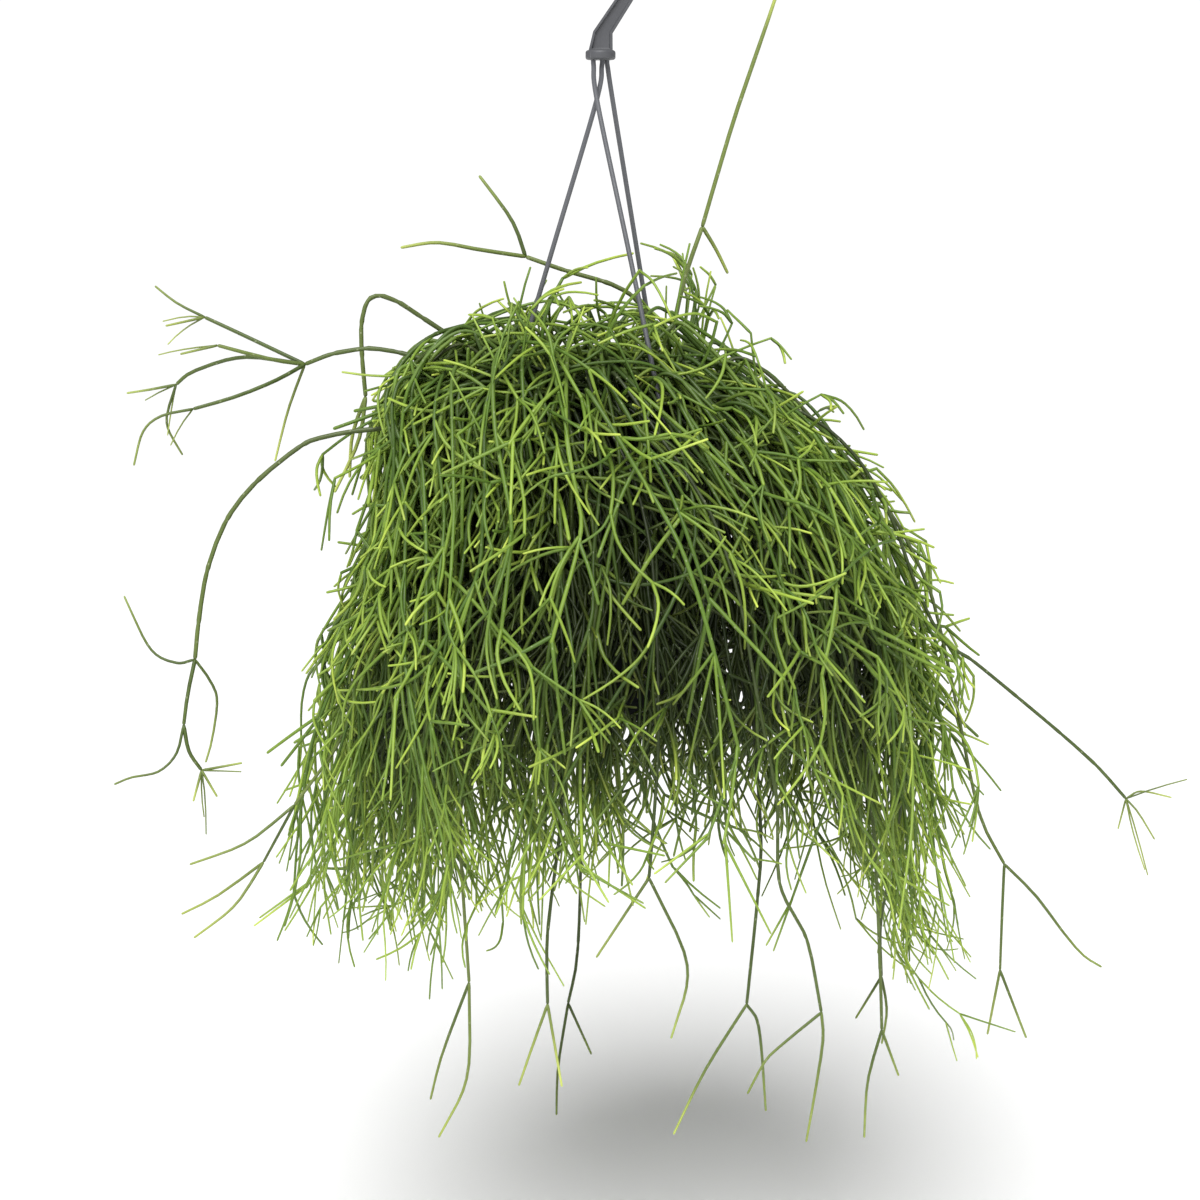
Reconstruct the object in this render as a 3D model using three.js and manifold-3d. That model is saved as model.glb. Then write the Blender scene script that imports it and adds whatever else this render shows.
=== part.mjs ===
// Mistletoe cactus (Rhipsalis baccifera) in a hanging pot: a moulded hook with its collar, three strands,
// a dark plastic pot, potting soil, and the rooted cuttings whose leafless round stems arch over the rim.
// Millimetres, +Z up, the front faces -Y. The origin is the seat of the hook, the spot its rod bears on.

import * as THREE from "three";
import { mergeVertices } from "three/addons/utils/BufferGeometryUtils.js";
import Module from "manifold-3d";

const wasm = await Module();
wasm.setup();

// ---------------------------------------------------------------- driving dimensions

const GAP = 0.3; // between neighbouring pieces

const HOOK = {
  bore: 18,
  width: 8,
  thickness: 6,
  lean: 32,
  tip: 212,
  arm: 41,
  innerArm: 46,
  flare: 2,
  footHalf: 7,
  footDepth: 0.8,
  curveSegments: 7,
};
const GROOVE = { rim: 1.7, depth: 1.7, footHalf: 4.8, footRise: 1.7 };
const COLLAR = { x: -6.6, top: -76.2, bottom: -81.8, radius: 8.6, ease: 1.4, sides: 24 };
const SOCKET = { depth: 4.6, strandDepth: 3.3 };

const STRAND = {
  radius: 1.4,
  knee: 0.1,
  beadRadius: 2.7,
  beadTaper: 0.55,
  beadHeight: 5,
  sides: 7,
  steps: 3,
};
const STRAND_HOLE = { radius: STRAND.radius + 0.4, sides: 12 };

const RIM_Z = -328;
const POT = { height: 130, mouthRadius: 66, baseRadius: 50, wall: 1.6, lipWidth: 4, lipDrop: 8, sides: 36 };
const LIP = { edge: 0.8, taper: 0.6, shoulder: 3 };
const FOOT = { rise: 2.4, width: 7.5, slope: 1.5 };
const LUG = { reach: 73, radius: 6.5, thickness: 3, sides: 16 };
const DRAIN = { count: 6, circle: 32, radius: 4.5, sides: 12 };
const SOIL = { top: RIM_Z - 14, relief: 1.3, mound: 2.5, slack: 0.35, rootDepth: 24, rings: 3, sides: 24 };
const ROOT_HOLE = { margin: 1.0, sides: 5 };

const POT_BASE_Z = RIM_Z - POT.height;

// Where each strand is fastened on the rim, where it leaves the collar, and how far in it has its knee.
const STRANDS = [
  { name: "strand_left", azimuth: 180, socket: [1, 0.2], bow: 2.8 },
  { name: "strand_front", azimuth: -60, socket: [-4.1, -2.6], bow: 4.4 },
  { name: "strand_back", azimuth: 60, socket: [3.7, 3.2], bow: 0.4 },
];

// Stems, in true thickness: main stems, arching branches, side twigs and their last forks.
const STEM = { main: 1.9, arch: 1.55, twig: 1.4, tip: 1.3 };
const STEM_SIDES = 3;

// The mound that the stems fall over, from the crown to the hem: its radius, height and middle along X.
const MANTLE = [
  { radius: 12, z: -218, middle: -28 },
  { radius: 56, z: -227, middle: -28 },
  { radius: 95, z: -247, middle: -30 },
  { radius: 123, z: -277, middle: -20 },
  { radius: 140, z: -308, middle: -5 },
  { radius: 154, z: -340, middle: 6 },
  { radius: 174, z: -392, middle: 11 },
  { radius: 190, z: -449, middle: 8 },
  { radius: 200, z: -507, middle: 9 },
  { radius: 205, z: -565, middle: 8 },
  { radius: 207, z: -640, middle: 8 },
];
const STAND_OUT = 17; // how far the cuttings' stems may stand out of the mantle
const HEM = { z: -594, right: -14, middle: 36 }; // the cuttings end here, lower on the right

// Cuttings stand in two rings in the soil. The inner ring rises higher and falls over the outer one.
const OUTER_RING = {
  count: 12,
  radius: 47,
  lean: 5,
  start: 15,
  arches: 2,
  shell: [0.66, 0.86],
  entry: [62, 112],
  run: [80, 320],
  swing: 26,
};
const INNER_RING = {
  count: 7,
  radius: 20,
  lean: 5,
  start: 8,
  arches: 3,
  shell: [0.84, 0.99],
  entry: [34, 120],
  run: [100, 370],
  swing: 46,
};
const FORK_HEIGHT = 36; // of a plant's first joint above the soil
const JOINT = 54; // usual distance between joints along an arching branch
const BENT_SPANS = 4; // the spans of a branch that bend over the rim: below them it hangs nearly straight
const BENT_STEPS = 2; // straight stretches in each bent span
const JITTER = 5.5; // how far a joint strays from the smooth arch
const SHORT_RUNS = 0.9; // below 1, short branches are fewer
const DRIFT_LENGTH = 250; // a branch swings across its heading once in this length

const TWIG = {
  length: [32, 66],
  angle: [22, 58],
  roll: 250,
  droop: [0.05, 0.26],
  perJoint: 0.46,
  firstJoint: 4,
};
const FORK = { share: 0.34, reach: 0.8, seats: [-2, -5] }; // forks stand a little before their twig's end
const TWIG_SEAT = 2.5; // and a side twig stands a little past its joint
const CLEARANCE = 0.5; // least gap between the stems of two plants
const OWN_ZONE = { twig: 7, arch: 9 }; // near its root a stem may touch the plant it grows from
const OWN_START = 0.3; // and it is clear of its own plant from this share of its first stretch
const POT_ZONE = { above: 8, below: 6, beside: 12 }; // no stem comes nearer to the pot's side than this
const TRIES = { twig: 14, arch: 56 };
const FIRST_SEED = 700;
const MERGE = 0.15; // edges that fusing leaves closer than this are merged

// The long shoots that stand out of the mound or hang below it. Each one is rooted between the two rings.
// "over" runs it down the mantle first, from one distance to another, in its shell, between two azimuths.
// Its lines are the joints after that, and a line with "from" grows from the end of that earlier line.
const SHOOT_RING = { radius: 34, lean: 3 };
const SLIM = 0.75; // thickness of a slim shoot, as a share of a usual one
const SHOOTS = [
  {
    name: "shoot_upright",
    root: 34,
    lines: [
      { joints: [[30, 10, -262], [36, 9, -232], [42, 9, -206], [52, 10, -177]] },
      { from: 0, joints: [[61, 12, -146], [71, 14, -113], [83, 17, -78], [94, 20, -46], [99, 21, -29]] },
      { from: 0, joints: [[60, 16, -190], [67, 19, -204]] },
    ],
  },
  {
    name: "shoot_crown",
    root: 56,
    lines: [
      {
        joints: [
          [24, 30, -262],
          [24, 29, -236],
          [12, 27, -217],
          [-6, 26, -208],
          [-27, 26, -202],
          [-50, 27, -194],
        ],
      },
      { from: 0, joints: [[-58, 29, -173], [-77, 32, -147]] },
      { from: 0, joints: [[-77, 22, -190], [-101, 18, -186], [-122, 14, -189]] },
    ],
  },
  {
    name: "shoot_loop",
    root: 146,
    lines: [
      {
        joints: [
          [-66, 20, -262],
          [-92, 20, -241],
          [-110, 18, -229],
          [-124, 16, -220],
          [-134, 14, -216.6],
          [-141, 12, -220],
          [-144.5, 11, -234],
          [-144, 10, -253],
          [-142, 8, -275],
        ],
      },
      { from: 0, joints: [[-146, 6, -300], [-160, 4, -330]] },
      { from: 0, joints: [[-150, 16, -297], [-152, 22, -322]] },
    ],
  },
  {
    name: "shoot_left_high",
    root: 191,
    lines: [
      {
        joints: [
          [-66, -14, -272],
          [-97, -12, -257],
          [-123, -12, -249],
          [-142, -12, -247],
          [-160, -11, -250],
          [-176, -10, -256],
        ],
      },
      { from: 0, joints: [[-210, -4, -240], [-234, 0, -229]] },
      { from: 1, joints: [[-250, 3, -221], [-263, 5, -211]] },
      { from: 1, joints: [[-256, -8, -234]] },
      { from: 0, joints: [[-195, -18, -253], [-225, -26, -245]] },
      { from: 4, joints: [[-246, -30, -250]] },
      { from: 0, joints: [[-212, 10, -252], [-241, 16, -260], [-252, 18, -268]] },
      { from: 6, joints: [[-268, 20, -271], [-281, 22, -273]] },
      { from: 6, joints: [[-258, 24, -290], [-249, 27, -309]] },
      { from: 0, joints: [[-192, -24, -265], [-214, -34, -274], [-238, -40, -281]] },
      { from: 9, joints: [[-256, -44, -285], [-266, -47, -294], [-271, -49, -313]] },
      { from: 0, joints: [[-186, -2, -282], [-194, 2, -312]] },
    ],
  },
  {
    name: "shoot_left_low",
    root: 214,
    lines: [
      {
        joints: [
          [-78, -22, -291],
          [-120, -26, -292],
          [-148, -28, -294],
          [-177, -30, -302],
          [-203, -31, -323],
          [-220, -32, -345],
          [-231, -32, -374],
          [-236, -32, -404],
          [-238, -32, -424],
        ],
      },
      { from: 0, joints: [[-249, -30, -426], [-264, -27, -418], [-279, -24, -388]] },
      { from: 0, joints: [[-242, -36, -444], [-244, -40, -461]] },
      { from: 2, joints: [[-248, -43, -477], [-258, -46, -487], [-273, -49, -490], [-283, -50, -494]] },
      { from: 2, joints: [[-241, -40, -476], [-234, -38, -487]] },
      { from: 4, joints: [[-239, -36, -505]] },
      { from: 4, joints: [[-225, -40, -502]] },
      { from: 4, joints: [[-211, -34, -483]] },
      { from: 0, joints: [[-230, -27, -436], [-226, -24, -448], [-229, -22, -470], [-233, -20, -484]] },
    ],
  },
  {
    name: "shoot_left_hem",
    slim: true,
    root: 203,
    over: { azimuth: [200, 200], shell: 0.88, entry: 60, until: 350 },
    lines: [
      { joints: [[-180, -58, -505]] },
      { from: 0, joints: [[-207, -62, -526], [-239, -66, -538]] },
      { from: 0, joints: [[-198, -54, -538]] },
      { from: 2, joints: [[-224, -52, -557], [-245, -50, -568]] },
      { from: 2, joints: [[-214, -60, -562], [-237, -64, -580]] },
    ],
  },
  {
    name: "hanging_shoot_front_left",
    slim: true,
    root: 236,
    over: { azimuth: [231, 231], shell: 0.72, entry: 60, until: 400 },
    lines: [
      { joints: [[-80, -108, -600]] },
      { from: 0, joints: [[-81, -112, -652], [-97, -116, -686]] },
      { from: 0, joints: [[-95, -104, -640], [-102, -100, -667]] },
    ],
  },
  {
    name: "hanging_shoot_front_01",
    slim: true,
    root: 259,
    over: { azimuth: [254, 254], shell: 0.62, entry: 50, until: 390 },
    lines: [
      { joints: [[-36, -124, -570], [-36, -126, -610]] },
      { from: 0, joints: [[-44, -128, -632], [-52, -130, -655]] },
      { from: 0, joints: [[-28, -134, -655]] },
    ],
  },
  {
    name: "hanging_shoot_front_02",
    slim: true,
    root: 281,
    over: { azimuth: [277, 277], shell: 0.78, entry: 66, until: 380 },
    lines: [
      { joints: [[20, -160, -536]] },
      { from: 0, joints: [[41, -164, -584], [32, -166, -624]] },
      { from: 0, joints: [[-9, -168, -579]] },
    ],
  },
  {
    name: "hanging_shoot_front_03",
    slim: true,
    root: 299,
    over: { azimuth: [288, 300], shell: 0.85, entry: 90, until: 370 },
    lines: [
      { joints: [[92, -150, -540], [107, -152, -571], [115, -153, -611]] },
      { from: 0, joints: [[95, -156, -627], [84, -159, -637], [74, -162, -655]] },
      { from: 0, joints: [[116, -150, -627], [112, -148, -655], [107, -146, -684]] },
    ],
  },
  {
    name: "hanging_shoot_front_04",
    slim: true,
    root: 315,
    over: { azimuth: [307, 307], shell: 0.64, entry: 62, until: 400 },
    lines: [
      { joints: [[81, -108, -553], [75, -110, -612]] },
      { from: 0, joints: [[52, -114, -648], [34, -118, -684]] },
      { from: 0, joints: [[82, -106, -626], [86, -104, -673]] },
    ],
  },
  {
    name: "hanging_shoot_right_01",
    slim: true,
    root: 330,
    over: { azimuth: [338, 338], shell: 0.76, entry: 70, until: 420 },
    lines: [
      { joints: [[152, -60, -600], [153, -60, -633]] },
      { from: 0, joints: [[145, -62, -662], [143, -64, -694]] },
      { from: 0, joints: [[163, -54, -660]] },
    ],
  },
  {
    name: "shoot_right_long",
    slim: true,
    root: 345,
    lines: [
      {
        joints: [
          [70, -16, -276],
          [110, -20, -284],
          [142, -22, -312],
          [163, -24, -352],
          [176, -24, -388],
          [190, -24, -414],
          [206, -23, -425],
          [233, -22, -447],
          [258, -20, -468],
          [278, -18, -486],
          [295, -17, -505],
        ],
      },
      { from: 0, joints: [[304, -14, -501], [322, -10, -505]] },
      { from: 0, joints: [[302, -20, -513], [311, -23, -528]] },
      { from: 0, joints: [[291, -12, -523]] },
    ],
  },
  {
    name: "shoot_right_hem",
    slim: true,
    root: 0,
    over: { azimuth: [0, 0], shell: 1.0, entry: 96, until: 360 },
    lines: [
      { joints: [[212, 6, -514], [227, 6, -545]] },
      { from: 0, joints: [[245, 4, -563], [260, 2, -583], [272, 0, -597], [283, -2, -604]] },
      { from: 0, joints: [[226, 8, -574], [225, 9, -607]] },
      { from: 2, joints: [[218, 12, -645]] },
      { from: 2, joints: [[240, 4, -646]] },
    ],
  },
  {
    name: "hanging_shoot_right_02",
    slim: true,
    root: 15,
    over: { azimuth: [5, 5], shell: 0.8, entry: 60, until: 410 },
    lines: [
      { joints: [[158, 46, -580], [158, 44, -615]] },
      { from: 0, joints: [[143, 46, -640]] },
      { from: 0, joints: [[161, 40, -634], [158, 38, -654]] },
    ],
  },
  {
    name: "hanging_shoot_back",
    slim: true,
    root: 101,
    over: { azimuth: [101, 101], shell: 0.6, entry: 50, until: 420 },
    lines: [
      { joints: [[-20, 120, -605], [-26, 118, -640]] },
      { from: 0, joints: [[-32, 116, -678], [-33, 114, -707]] },
      { from: 0, joints: [[-12, 126, -672]] },
    ],
  },
];

// ---------------------------------------------------------------- small helpers

const DEGREE = Math.PI / 180;
const v = (x, y, z) => new THREE.Vector3(x, y, z);
const mix = ([low, high], share) => low + (high - low) * share;

function polar(radius, degrees, z) {
  return v(radius * Math.cos(degrees * DEGREE), radius * Math.sin(degrees * DEGREE), z);
}

// Seeded dice (mulberry32): the same draws every time.
function dice(seed) {
  let state = seed;
  return () => {
    state = (state + 0x6d2b79f5) | 0;
    let t = Math.imul(state ^ (state >>> 15), 1 | state);
    t = (t + Math.imul(t ^ (t >>> 7), 61 | t)) ^ t;
    return ((t ^ (t >>> 14)) >>> 0) / 4294967296;
  };
}

// A closed geometry as a manifold solid, with its faces turned outwards.
function solid(geometry) {
  const bare = geometry.index ? geometry.toNonIndexed() : geometry.clone();
  bare.deleteAttribute("normal");
  bare.deleteAttribute("uv");
  const merged = mergeVertices(bare, 1e-4);
  const vertProperties = merged.attributes.position.array;
  const triVerts = new Uint32Array(merged.index.array);
  const build = () => new wasm.Manifold(new wasm.Mesh({ numProp: 3, vertProperties, triVerts }));
  const made = build();
  if (made.volume() > 0) return made;
  for (let i = 0; i < triVerts.length; i += 3) {
    [triVerts[i + 1], triVerts[i + 2]] = [triVerts[i + 2], triVerts[i + 1]];
  }
  return build();
}

function meshOf(name, made, material) {
  const { numProp, numVert, vertProperties, triVerts } = made.getMesh();
  const positions = new Float32Array(numVert * 3);
  for (let i = 0; i < numVert; i++) {
    positions.set(vertProperties.subarray(i * numProp, i * numProp + 3), i * 3);
  }
  const geometry = new THREE.BufferGeometry();
  geometry.setAttribute("position", new THREE.BufferAttribute(positions, 3));
  geometry.setIndex(new THREE.BufferAttribute(new Uint32Array(triVerts), 1));
  geometry.computeVertexNormals();
  const mesh = new THREE.Mesh(geometry, material);
  mesh.name = name;
  return mesh;
}

// An upright round peg between two heights.
function peg({ x, y }, low, high, sides, radius, topRadius = radius) {
  const geometry = new THREE.CylinderGeometry(topRadius, radius, high - low, sides);
  return solid(geometry.rotateX(90 * DEGREE).translate(x, y, (low + high) / 2));
}

// A geometry turned about the Z axis from a profile of radii and heights.
function lathe(profile, sides) {
  const outline = profile.map(([radius, z]) => new THREE.Vector2(radius, z));
  return new THREE.LatheGeometry(outline, sides).rotateX(90 * DEGREE);
}

// A line of straight stretches between given points, for sweeping a section along it point by point.
class Route extends THREE.Curve {
  constructor(points) {
    super();
    this.points = points;
  }
  getPoint(t, target = new THREE.Vector3()) {
    const along = t * (this.points.length - 1);
    const index = Math.min(Math.floor(along), this.points.length - 2);
    return target.lerpVectors(this.points[index], this.points[index + 1], along - index);
  }
  getUtoTmapping(u) {
    return u;
  }
}

function tube(points, radius, sides) {
  const corners = [];
  for (let i = 0; i < sides; i++) {
    const turn = (360 / sides) * i * DEGREE;
    corners.push(new THREE.Vector2(radius * Math.cos(turn), radius * Math.sin(turn)));
  }
  const sweep = { steps: points.length - 1, extrudePath: new Route(points), bevelEnabled: false };
  return solid(new THREE.ExtrudeGeometry(new THREE.Shape(corners), sweep));
}

// A point between b and c on the smooth line through a, b, c and d.
function bend(a, b, c, d, t) {
  const weights = [
    -0.5 * t + t * t - 0.5 * t ** 3,
    1 - 2.5 * t * t + 1.5 * t ** 3,
    0.5 * t + 2 * t * t - 1.5 * t ** 3,
    -0.5 * t * t + 0.5 * t ** 3,
  ];
  const point = v(0, 0, 0);
  [a, b, c, d].forEach((joint, i) => point.addScaledVector(joint, weights[i]));
  return point;
}

// Points on a smooth line through the given joints: so many steps to a span at first, then one to a span.
function smooth(joints, steps, bentSpans = Infinity) {
  const points = [joints[0].clone()];
  for (let i = 0; i < joints.length - 1; i++) {
    const b = joints[i];
    const c = joints[i + 1];
    if (i >= bentSpans) {
      points.push(c.clone());
      continue;
    }
    const a = i > 0 ? joints[i - 1] : b.clone().multiplyScalar(2).sub(c);
    const d = i + 2 < joints.length ? joints[i + 2] : c.clone().multiplyScalar(2).sub(b);
    for (let step = 1; step <= steps; step++) {
      points.push(bend(a, b, c, d, step / steps));
    }
  }
  return points;
}

// ---------------------------------------------------------------- materials

const plastic = (color, roughness) => new THREE.MeshStandardMaterial({ color, roughness, metalness: 0 });
const greyPlastic = plastic(0x6f7073, 0.5);
const strandPlastic = plastic(0x7a7b7e, 0.45);
const potPlastic = plastic(0x17191a, 0.55);
const soilMatter = new THREE.MeshStandardMaterial({ color: 0x2c2118, roughness: 0.95, metalness: 0 });
const stemSkin = (color) => new THREE.MeshStandardMaterial({ color, roughness: 0.48, metalness: 0 });
const STEM_COLORS = [0x4d7a2b, 0x5a8a32, 0x5f8f35, 0x476f2a];
const SHOOT_COLOR = 0x46652c;

// ---------------------------------------------------------------- hook and collar

const BEND_CENTRE = new THREE.Vector2(0, -HOOK.bore);
const ARM_START = -HOOK.lean * DEGREE;
const ARM_DIRECTION = new THREE.Vector2(Math.sin(ARM_START), -Math.cos(ARM_START));

// The hook's outline in X and Z, drawn in from the true edge by a margin: tip, bend, flaring arm and foot.
function hookOutline(margin, footHalf, footZ) {
  const inner = HOOK.bore + margin;
  const outer = HOOK.bore + HOOK.width - margin;
  const middle = (inner + outer) / 2;
  const tipAngle = HOOK.tip * DEGREE - margin / middle;
  const onBend = (radius, angle) =>
    new THREE.Vector2(Math.cos(angle), Math.sin(angle)).multiplyScalar(radius).add(BEND_CENTRE);
  const downArm = (radius, length) => onBend(radius, ARM_START).addScaledVector(ARM_DIRECTION, length);
  const rightEnd = downArm(outer, HOOK.arm);
  const leftEnd = downArm(inner - HOOK.flare, HOOK.innerArm);
  const tip = onBend(middle, tipAngle);
  const shape = new THREE.Shape();
  shape.moveTo(COLLAR.x + footHalf, footZ);
  shape.lineTo(rightEnd.x, rightEnd.y);
  shape.absarc(BEND_CENTRE.x, BEND_CENTRE.y, outer, ARM_START, tipAngle, false);
  shape.absarc(tip.x, tip.y, (outer - inner) / 2, tipAngle, tipAngle + Math.PI, false);
  shape.absarc(BEND_CENTRE.x, BEND_CENTRE.y, inner, tipAngle, ARM_START, true);
  shape.lineTo(leftEnd.x, leftEnd.y);
  shape.lineTo(COLLAR.x - footHalf, footZ);
  return shape;
}

function slab(shape, thickness, middleY) {
  const settings = { depth: thickness, curveSegments: HOOK.curveSegments, bevelEnabled: false };
  const flat = new THREE.ExtrudeGeometry(shape, settings).translate(0, 0, -thickness / 2);
  return solid(flat.rotateX(90 * DEGREE).translate(0, middleY, 0));
}

function makeCollar() {
  const { x, top, bottom, radius, ease, sides } = COLLAR;
  const profile = [
    [0, bottom],
    [radius - ease, bottom],
    [radius, bottom + ease],
    [radius, top - ease],
    [radius - ease, top],
    [0, top],
  ];
  let collar = solid(lathe(profile, sides)).translate([x, 0, 0]);
  for (const { socket } of STRANDS) {
    const at = v(x + socket[0], socket[1], 0);
    const hole = peg(at, bottom - 1, bottom + SOCKET.depth, STRAND_HOLE.sides, STRAND_HOLE.radius);
    collar = collar.subtract(hole);
  }
  return collar;
}

function makeHook() {
  let hook = slab(hookOutline(0, HOOK.footHalf, COLLAR.top - HOOK.footDepth), HOOK.thickness, 0);
  const groove = hookOutline(GROOVE.rim, GROOVE.footHalf, COLLAR.top + GROOVE.footRise);
  for (const side of [-1, 1]) {
    hook = hook.subtract(slab(groove, GROOVE.depth * 2, (side * HOOK.thickness) / 2));
  }
  return meshOf("hook", hook.add(makeCollar()), greyPlastic);
}

// ---------------------------------------------------------------- strands

// A strand drops out of its socket, turns outwards at its knee, and goes straight down through its lug.
function strandRoute({ azimuth, socket, bow }) {
  const top = v(COLLAR.x + socket[0], socket[1], COLLAR.bottom + SOCKET.strandDepth);
  const leaving = top.clone().setZ(COLLAR.bottom - 1.5);
  const lug = polar(LUG.reach, azimuth, RIM_Z + 4);
  const inward = polar(-bow, azimuth, 0);
  const knee = leaving.clone().lerp(lug, STRAND.knee).add(inward);
  const middle = leaving.clone().lerp(lug, 0.5).addScaledVector(inward, 0.4);
  const end = lug.clone().setZ(RIM_Z - LUG.thickness - GAP - 1);
  return [top, ...smooth([leaving, knee, middle, lug], STRAND.steps), end];
}

function makeStrand(strand) {
  const { radius, beadRadius, beadTaper, beadHeight, sides } = STRAND;
  const beadTop = RIM_Z - LUG.thickness - GAP;
  const lug = polar(LUG.reach, strand.azimuth, 0);
  const rod = tube(strandRoute(strand), radius, sides);
  const bead = peg(lug, beadTop - beadHeight, beadTop, sides, beadRadius * beadTaper, beadRadius);
  return meshOf(strand.name, rod.add(bead), strandPlastic);
}

// ---------------------------------------------------------------- pot and soil

// Outer radius of the pot's side at a height.
const potRadius = (z) => mix([POT.baseRadius, POT.mouthRadius], (z - POT_BASE_Z) / POT.height);

function makePot() {
  const lip = POT.mouthRadius + POT.lipWidth;
  const lipBottom = RIM_Z - POT.lipDrop;
  const floor = POT_BASE_Z + FOOT.rise;
  const profile = [
    [0, floor],
    [POT.baseRadius - FOOT.width + FOOT.slope, floor],
    [POT.baseRadius - FOOT.width, POT_BASE_Z],
    [POT.baseRadius, POT_BASE_Z],
    [potRadius(lipBottom - LIP.shoulder), lipBottom - LIP.shoulder],
    [lip - LIP.taper, lipBottom],
    [lip, RIM_Z - LIP.edge],
    [lip - LIP.edge, RIM_Z],
    [POT.mouthRadius - POT.wall, RIM_Z],
    [POT.baseRadius - POT.wall, floor + POT.wall],
    [0, floor + POT.wall],
  ];
  let pot = solid(lathe(profile, POT.sides));
  const mouth = peg(v(0, 0, 0), lipBottom, RIM_Z + 1, POT.sides, POT.mouthRadius - 1);
  const lugs = STRANDS.map(({ azimuth }) => polar(LUG.reach, azimuth, 0));
  for (const lug of lugs) {
    pot = pot.add(peg(lug, RIM_Z - LUG.thickness, RIM_Z, LUG.sides, LUG.radius).subtract(mouth));
  }
  for (const lug of lugs) {
    pot = pot.subtract(peg(lug, lipBottom, RIM_Z + 1, STRAND_HOLE.sides, STRAND_HOLE.radius));
  }
  for (let i = 0; i < DRAIN.count; i++) {
    const at = polar(DRAIN.circle, (360 / DRAIN.count) * i, 0);
    pot = pot.subtract(peg(at, POT_BASE_Z, floor + POT.wall + 1, DRAIN.sides, DRAIN.radius));
  }
  return meshOf("pot", pot, potPlastic);
}

// Crumbly relief on the soil's upper face.
const soilRelief = (x, y) =>
  SOIL.relief * (Math.sin(0.21 * x + 1.3) * Math.cos(0.26 * y + 0.4) + 0.6 * Math.sin(0.37 * x - 0.31 * y));

function makeSoil(roots) {
  const bottom = POT_BASE_Z + FOOT.rise + POT.wall + GAP;
  const inside = (z) => potRadius(z) - POT.wall - GAP - SOIL.slack;
  const profile = [
    [0, bottom],
    [inside(bottom) - SOIL.slack, bottom],
    [inside(SOIL.top), SOIL.top],
  ];
  for (let ring = 1; ring <= SOIL.rings; ring++) {
    const share = ring / SOIL.rings;
    profile.push([inside(SOIL.top) * (1 - share), SOIL.top + SOIL.mound * share]);
  }
  const geometry = lathe(profile, SOIL.sides);
  const position = geometry.attributes.position;
  for (let i = 0; i < position.count; i++) {
    const [x, y, z] = [position.getX(i), position.getY(i), position.getZ(i)];
    if (z > SOIL.top + 0.1) position.setZ(i, z + soilRelief(x, y));
  }
  let soil = solid(geometry);
  const holeBottom = SOIL.top - SOIL.rootDepth - GAP;
  const holeTop = SOIL.top + SOIL.rootDepth;
  for (const root of roots) {
    soil = soil.subtract(peg(root, holeBottom, holeTop, ROOT_HOLE.sides, STEM.main + ROOT_HOLE.margin));
  }
  return meshOf("soil", soil, soilMatter);
}

// ---------------------------------------------------------------- stems: where they may grow

// Every straight stretch of stem or strand placed so far, as { a, b, radius, owner }.
const placed = [];

// Least distance between two straight stretches.
function distanceBetween(p1, q1, p2, q2) {
  const d1 = q1.clone().sub(p1);
  const d2 = q2.clone().sub(p2);
  const r = p1.clone().sub(p2);
  const a = d1.dot(d1);
  const e = d2.dot(d2);
  const f = d2.dot(r);
  const c = d1.dot(r);
  const b = d1.dot(d2);
  const spread = a * e - b * b;
  let s = spread > 1e-9 ? THREE.MathUtils.clamp((b * f - c * e) / spread, 0, 1) : 0;
  let t = (b * s + f) / e;
  if (t < 0 || t > 1) {
    t = THREE.MathUtils.clamp(t, 0, 1);
    s = THREE.MathUtils.clamp((b * t - c) / a, 0, 1);
  }
  return r.addScaledVector(d1, s).addScaledVector(d2, -t).length();
}

const stretches = (points) => points.slice(1).map((point, i) => [points[i], point]);

function place(points, radius, owner) {
  for (const [a, b] of stretches(points)) {
    placed.push({ a, b, radius, owner });
  }
}

function clearsPot(point) {
  const besidePot = point.z < RIM_Z + POT_ZONE.above && point.z > POT_BASE_Z - POT_ZONE.below;
  return !besidePot || Math.hypot(point.x, point.y) > potRadius(point.z) + LUG.radius + POT_ZONE.beside;
}

// Whether a stem along these points keeps clear of the pot, the strands, the collar and every other stem.
// Near its own root a stem may touch what it grows from.
function isClear(points, radius, owner, ownZone) {
  const root = points[0];
  if (!points.slice(1).every(clearsPot)) return false;
  return stretches(points).every(([a, b], index) =>
    placed.every((other) => {
      const own = other.owner === owner && index === 0;
      if (own && Math.min(other.a.distanceTo(root), other.b.distanceTo(root)) < ownZone) return true;
      const start = own ? a.clone().lerp(b, OWN_START) : a;
      return distanceBetween(start, b, other.a, other.b) > radius + other.radius + CLEARANCE;
    }),
  );
}

const mantleLengths = MANTLE.slice(1).map((ring, i) =>
  Math.hypot(ring.radius - MANTLE[i].radius, ring.z - MANTLE[i].z),
);

// The mantle's ring at a share of the way from one of its rings to the next.
function mantleRing(index, share) {
  const [from, to] = [MANTLE[index], MANTLE[index + 1]];
  const at = (key) => mix([from[key], to[key]], share);
  return { radius: at("radius"), z: at("z"), middle: at("middle") };
}

// The mantle's ring where its radius, or its depth below the hook, has a value.
function mantleWhere(measure, value) {
  const last = MANTLE.length - 2;
  let index = 0;
  while (index < last && measure(MANTLE[index + 1]) < value) index += 1;
  const low = measure(MANTLE[index]);
  const high = measure(MANTLE[index + 1]);
  return mantleRing(index, THREE.MathUtils.clamp((value - low) / (high - low), 0, 1));
}

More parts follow.
